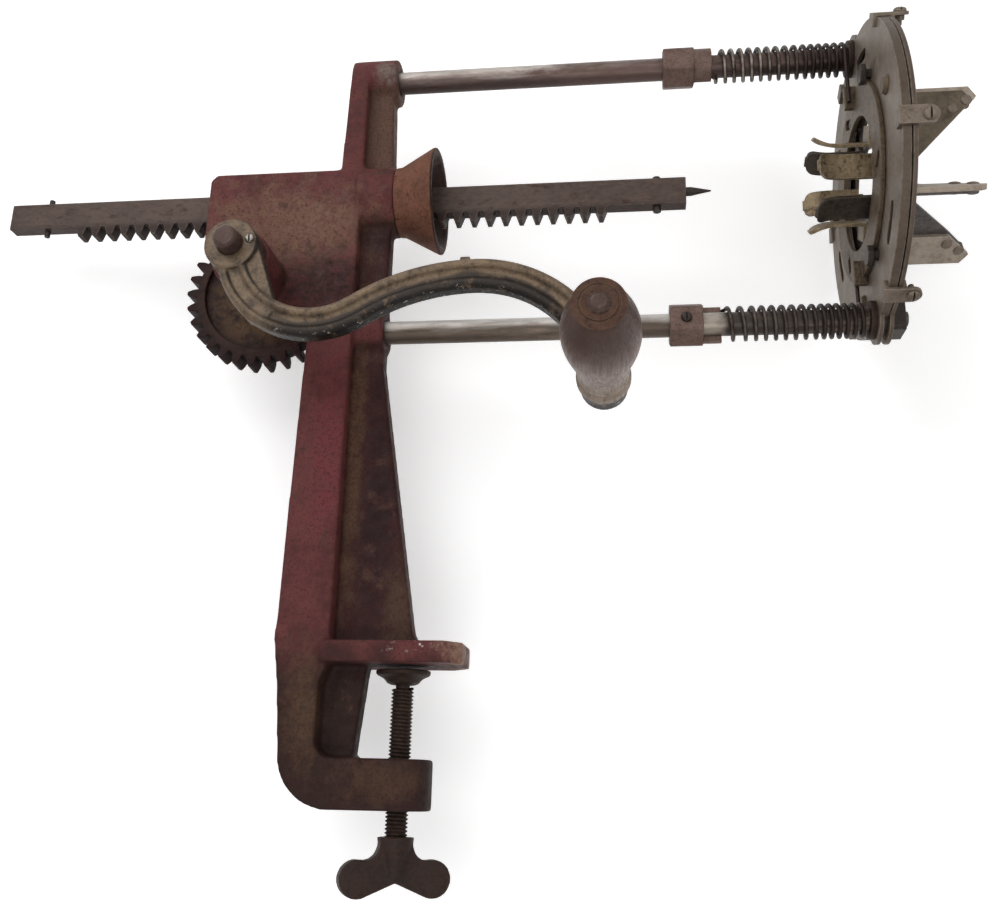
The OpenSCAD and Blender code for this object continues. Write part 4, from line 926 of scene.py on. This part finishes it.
outline = [(BORE_R, 0)]
for base, row in ((BEAD_R, BEAD_MM), (WAIST_R, WAIST_MM)):
    outline += [(base + out * MM, up * MM) for out, up in row]
outline += [barrel(step / BARREL_STEPS) for step in range(BARREL_STEPS + 1)]
outline += [(WAIST_R - 0.5 * MM, grip_l - 0.3 * MM), (WAIST_R - 1.2 * MM, grip_l)]
outline += [(BORE_R, grip_l), (BORE_R, 0)]
bm = bmesh.new()
lathe(bm, outline, facing_front(spindle.x, grip_high.y, spindle.z), 96)
make_piece(bm, "turned_grip", "grip", "grip_wood", grip_wood, ["handle_grip"])

# %% [markdown]
# ## Washer on the grip's end
# A pressed washer keeps the grip on its spindle. It has a flat rim and a raised cup in its middle. It is
# round, so it is turned like the grip from half an outline.

# %% Turn the washer
washer_low, washer_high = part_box("handle_washer")
washer_t = washer_high.y - washer_low.y
RIM_R, CUP_R, CUP_T, ROUND = 11.6 * MM, 8.0 * MM, 0.9 * MM, 0.3 * MM
outline = [(BORE_R, 0), (RIM_R - ROUND, 0), (RIM_R, ROUND), (RIM_R - 0.2 * MM, CUP_T),
           (CUP_R + 0.8 * MM, CUP_T + ROUND), (CUP_R + 0.4 * MM, CUP_T), (CUP_R, CUP_T),
           (CUP_R - ROUND, washer_t), (BORE_R + 0.6 * MM, washer_t), (BORE_R, washer_t - ROUND), (BORE_R, 0)]
bm = bmesh.new()
lathe(bm, outline, facing_front(spindle.x, washer_high.y, spindle.z), 64)
make_piece(bm, "dished_handle_washer", "crank", "collar_iron", washer_rust, ["handle_washer"])

# %% [markdown]
# ## Places of rivets and screws
# The CAD has plain stand-ins where rivets and screws go. Each stand-in is one separate lump of its node, so
# the places are read off the CAD mesh: a lump's middle, and how far it reaches along its axis.


# %% Measure the stand-ins
def lumps(node):
    """Vertex places of each separate solid of a node."""
    bm = bmesh.new()
    bm.from_mesh(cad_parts[node].data)
    bmesh.ops.remove_doubles(bm, verts=bm.verts, dist=WELD)
    left, found = set(bm.verts), []
    while left:
        front, lump = [left.pop()], []
        while front:
            vert = front.pop()
            lump.append(vert.co.copy())
            near = {e.other_vert(vert) for e in vert.link_edges} & left
            left -= near
            front += near
        found.append(lump)
    bm.free()
    return found


def stand(lump, axis):
    """A place whose Z is the lump's axis and whose origin is the lump's low end, and the lump's length."""
    centre = sum(lump, Vector()) / len(lump)
    reach = [(p - centre).dot(axis) for p in lump]
    turn = axis.to_track_quat("Z", "Y").to_matrix().to_4x4()
    return Matrix.Translation(centre + axis * min(reach)) @ turn, max(reach) - min(reach)


print("rivets on the first arm:", len(lumps("knife_rivets_1")))

# %% [markdown]
# ## Knife rivets
# Each knife is held to its arm by rivets with domed heads, hammered over a shank. A rivet is round, so half
# its outline is spun: a dome, a shank and the same dome upside down.

# %% Domed knife rivets
RIVET_R, SHANK_R, DOME_H = 3.1 * MM, 0.6 * 3.1 * MM, 1.0 * MM
JAW_ANGLES = (95, 215, 335)


def dome(radius, height, foot):
    """Outline of a low dome from its rim to its top."""
    turns = [math.radians(a) for a in range(0, 91, 15)]
    return [(radius * math.cos(a), foot + height * math.sin(a)) for a in turns]


for k, angle in enumerate(JAW_ANGLES, start=1):
    jaw_turn = math.radians(angle)
    across = Vector((0, math.sin(jaw_turn), -math.cos(jaw_turn)))
    bm = bmesh.new()
    for lump in lumps(f"knife_rivets_{k}"):
        place, length = stand(lump, across)
        upper = dome(RIVET_R, DOME_H, length - DOME_H)
        lower = [(r, length - h) for r, h in reversed(upper)]
        shank = [(SHANK_R, lower[-1][1]), (SHANK_R, upper[0][1])]
        lathe(bm, lower + shank + upper, place)
    make_piece(bm, f"domed_knife_rivets_{k}", f"jaw_{k}", "knife_steel", tan_nickel, [f"knife_rivets_{k}"])

# %% [markdown]
# ## Clip screws
# The clips round the rim of the head are held by round-headed screws with a slot and a hexagon nut. A slot
# could be cut with a boolean. Slicing a dome beside its middle, closing the cut and turning a second one
# half round gives the same slot with cleaner faces, and a plain foot joins the halves.

# %% Slotted clip screws
CLIP_HEAD_R, CLIP_HEAD_H, CLIP_SHANK_R, CLIP_SLOT_H = 3.3 * MM, 2.2 * MM, 1.5 * MM, 1.5 * MM
NUT_R, NUT_H, NUT_AT, NUT_BEVEL = 2.7 * MM, 2.6 * MM, 3.7 * MM, 0.25 * MM
SLOT_W = 0.9 * MM
head_axis_z = middle("head_front_plate").z


def rod_outline(radius, height):
    """Half outline of a plain cylinder."""
    return [(0, 0), (radius, 0), (radius, height), (0, height)]


def slotted_head(bm, place, radius, height, slot_h, dome_h):
    """Two half domes beside a slot on a plain foot. The place is the head's underside."""
    foot_h = height - slot_h
    lathe(bm, rod_outline(radius, foot_h), place)
    cap = [(0, foot_h / 2), (radius * 0.98, foot_h / 2)] + dome(radius, dome_h, height - dome_h)
    for side in (0, 180):
        known = set(bm.verts)
        half = lathe(bm, cap, Matrix.Identity(4))
        edges = {e for v in half for e in v.link_edges}
        faces = {f for v in half for f in v.link_faces}
        bmesh.ops.bisect_plane(bm, geom=half + list(edges) + list(faces), plane_co=(SLOT_W / 2, 0, 0),
                               plane_no=(1, 0, 0), clear_inner=True)
        half = [v for v in bm.verts if v not in known]
        rim = {e for v in half for e in v.link_edges if e.is_boundary}
        bmesh.ops.holes_fill(bm, edges=list(rim), sides=0)
        turn = Matrix.Rotation(math.radians(side), 4, "Z")
        bmesh.ops.transform(bm, matrix=place @ turn, verts=half)


bm = bmesh.new()
for lump in lumps("rim_clip_screws"):
    centre = sum(lump, Vector()) / len(lump)
    place, length = stand(lump, Vector((0, centre.y, centre.z - head_axis_z)).normalized())
    shank_top = length - CLIP_HEAD_H
    lathe(bm, rod_outline(CLIP_SHANK_R, shank_top), place, 20)
    head_place = place @ Matrix.Translation((0, 0, shank_top))
    slotted_head(bm, head_place, CLIP_HEAD_R, CLIP_HEAD_H, CLIP_SLOT_H, CLIP_SLOT_H)
    nut = bmesh.ops.create_cone(bm, cap_ends=True, segments=6, radius1=NUT_R, radius2=NUT_R,
                                depth=NUT_H)["verts"]
    bmesh.ops.transform(bm, matrix=place @ Matrix.Translation((0, 0, NUT_AT)), verts=nut)
    corners = list({e for v in nut for e in v.link_edges})
    bmesh.ops.bevel(bm, geom=corners, offset=NUT_BEVEL, affect="EDGES", segments=2, profile=0.5,
                    material=-1)
make_piece(bm, "slotted_clip_screws", "frame", "dark_steel", tan_nickel, ["rim_clip_screws"])

# %% [markdown]
# ## Set screws
# A set screw holds the crank on its shaft, and others hold the collars on the rods. They are short slotted
# heads that look away from the middle of the tool, along Y, so the same function makes them.

# %% Slotted set screws
SET_SLOT_H = 1.2 * MM
SET_SCREWS = (
    ("slotted_crank_screw", "crank", "rod_steel", bright_steel, "crank_screw", 2.2 * MM, 0.4 * MM),
    ("slotted_collar_screws", "frame", "dark_steel", dark_steel, "collar_screws", 2.5 * MM, 0.6 * MM),
)
for name, body, slot, material, node, radius, dome_h in SET_SCREWS:
    bm = bmesh.new()
    for lump in lumps(node):
        outward = Vector((0, math.copysign(1, sum(p.y for p in lump)), 0))
        place, length = stand(lump, outward)
        slotted_head(bm, place, radius, length, SET_SLOT_H, dome_h)
    make_piece(bm, name, body, slot, material, [node])

# %% [markdown]
# ## Crank casting
# The real crank leaves its hub in a broad neck that narrows into the curved arm. The CAD arm starts at its
# full bend, so the cast piece here takes the CAD solid and adds the neck as the hull of two circles: one in
# the hub and one a little way along the bend. The voxel skin then joins both with soft corners.

# %% Cast the crank
NECK_HUB_R, NECK_ARM_R, NECK_HALF_T = 13.6 * MM, 8.6 * MM, 3.8 * MM
BEND_R, NECK_TURN = 44 * MM, math.radians(232)
CRANK_VOXEL_MM = 0.6
arm_mid_y = middle("crank_arm").y - 1 * MM
bm = bmesh.new()
bm.from_mesh(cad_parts["crank_arm"].data)
bmesh.ops.remove_doubles(bm, verts=bm.verts, dist=WELD)
neck_verts = []
on_bend = (BEND_R * (1 + math.cos(NECK_TURN)), BEND_R * math.sin(NECK_TURN))
for radius, (across, up) in ((NECK_HUB_R, (0, 0)), (NECK_ARM_R, on_bend)):
    disc = bmesh.ops.create_cone(bm, cap_ends=True, segments=40, radius1=radius, radius2=radius,
                                 depth=2 * NECK_HALF_T)["verts"]
    place = facing_front(shaft_at.x + across, arm_mid_y, shaft_at.z + up)
    bmesh.ops.transform(bm, matrix=place, verts=disc)
    neck_verts += disc
hull = bmesh.ops.convex_hull(bm, input=neck_verts)
spare = set(hull["geom_interior"]) | set(hull["geom_unused"])
bmesh.ops.delete(bm, geom=[v for v in spare if isinstance(v, bmesh.types.BMVert)], context="VERTS")
crank_casting = make_piece(bm, "cast_crank", "crank", "crank_iron", black_iron, ["crank_arm"])
soften_casting(crank_casting, CRANK_VOXEL_MM)

# %% [markdown]
# ## White sheet
# The tool lies on its back on a white sheet and is seen from above. The sheet is a plane that stays behind
# every piece in every pose. It shows only its front, so views from behind look through it. It glows a little
# for rays that are seen, because a lit sheet alone would come out grey.

# %% Sheet
SHEET_Y, SHEET_RISE_X, SHEET_RISE_Z = 62 * MM, 0.11, 0.02
SHEET_GLOW = 0.42
sheet_normal = Vector((SHEET_RISE_X, -1, SHEET_RISE_Z)).normalized()
bm = bmesh.new()
bmesh.ops.create_grid(bm, x_segments=1, y_segments=1, size=2.5)
turn = sheet_normal.to_track_quat("Z", "Y").to_matrix().to_4x4()
bmesh.ops.transform(bm, matrix=Matrix.Translation((0, SHEET_Y, 0)) @ turn, verts=bm.verts)
sheet_mesh = bpy.data.meshes.new("white_sheet")
bm.to_mesh(sheet_mesh)
bm.free()
sheet = show("white_sheet", sheet_mesh)
sheet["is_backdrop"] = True


def seen_rays(tree):
    """1 for rays from the camera, from reflections and through clear surfaces."""
    rays = add(tree, "ShaderNodeLightPath").node.outputs
    seen = rays["Is Camera Ray"]
    for kind in ("Is Glossy Ray", "Is Transmission Ray"):
        seen = add(tree, "ShaderNodeMath", {"operation": "MAXIMUM"}, {0: seen, 1: rays[kind]})
    return seen


# Matt white paper: even white with soft shadows.
paper, tree, shader = new_material("matt_white_paper")
shader.inputs["Base Color"].default_value = linear("#f4f3f3")
shader.inputs["Roughness"].default_value = 0.9
shader.inputs["Emission Color"].default_value = linear("#ffffff")
tree.links.new(product(tree, seen_rays(tree), SHEET_GLOW), shader.inputs["Emission Strength"])
clear = add(tree, "ShaderNodeBsdfTransparent")
behind = add(tree, "ShaderNodeNewGeometry").node.outputs["Backfacing"]
shown = add(tree, "ShaderNodeMixShader", {}, {0: behind, 1: shader.outputs["BSDF"], 2: clear})
tree.links.new(shown, tree.nodes["Material Output"].inputs["Surface"])
sheet_mesh.materials.append(paper)
print("sheet tilt in degrees:", round(math.degrees(sheet_normal.angle(Vector((0, -1, 0)))), 1))

# %% [markdown]
# ## World and lamps
# The picture was lit softly from all sides. The world is white to the camera, to reflections and through
# clear surfaces, and dimmer as a light. Three large lamps stand for the sides of a light tent.

# %% World
TENT_LIGHT, TENT_SEEN = 0.3, 1.0
world = bpy.data.worlds.new("light_tent")
bpy.context.scene.world = world
world.use_nodes = True
tree = world.node_tree
strength = add(tree, "ShaderNodeMapRange", {"To Min": TENT_LIGHT, "To Max": TENT_SEEN},
               {"Value": seen_rays(tree)})
tent = tree.nodes["Background"]
tent.inputs["Color"].default_value = linear("#ffffff")
tree.links.new(strength, tent.inputs["Strength"])
print("world light:", TENT_LIGHT, "seen as", TENT_SEEN)

# %% Lamps
LAMP_AIM, LAMP_SIZE = Vector((80, 0, 180)) * MM, 900 * MM
LAMPS = (("key", (-400, -950, 750), 6.5), ("fill", (900, -1000, 300), 3.0),
         ("low", (100, -1100, -600), 5.0))
for name, at_mm, watts in LAMPS:
    lamp = bpy.data.lights.new(name, "AREA")
    lamp.energy = watts
    lamp.size = LAMP_SIZE
    lamp_object = show(name, lamp)
    lamp_object.location = Vector(at_mm) * MM
    aim = LAMP_AIM - lamp_object.location
    lamp_object.rotation_euler = aim.to_track_quat("-Z", "Y").to_euler()
    print(name, "lamp,", watts, "W")

# %% [markdown]
# ## Camera
# The camera stands where the photograph was taken: in front of the post and below its middle, looking up a
# little. Its place and turn come from matching points of the solids to the picture, and the lens follows
# from the focal length that the match gave, in pixels of a picture 1000 wide.

# %% Camera
IMAGE_W, FOCAL_PX, SENSOR_MM = 1000, 1059.46, 36
CAMERA_AT = Vector((111.5, -529.7, -55.2)) * MM
YAW, TILT, ROLL = math.radians(7.03), math.radians(16.92), math.radians(-1.34)
camera_data = bpy.data.cameras.new("photo_camera")
camera_data.sensor_width = SENSOR_MM
camera_data.lens = FOCAL_PX * SENSOR_MM / IMAGE_W
camera_data.clip_start = 0.02
camera_data.clip_end = 20
camera = show("photo_camera", camera_data)
aimed = Matrix.Rotation(YAW, 4, "Z") @ Matrix.Rotation(math.radians(90) + TILT, 4, "X")
camera.matrix_world = Matrix.Translation(CAMERA_AT) @ aimed @ Matrix.Rotation(-ROLL, 4, "Z")
bpy.context.scene.camera = camera
bpy.context.scene.view_settings.view_transform = "Standard"
print("lens in mm:", round(camera_data.lens, 2))

# %% Measure the dressed box
seen_low, seen_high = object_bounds()
sizes = {"cad": [list(cad_low), list(cad_high)], "visual": [list(seen_low), list(seen_high)]}
print("dressed box in mm:", [round(x / MM, 1) for x in seen_high - seen_low])
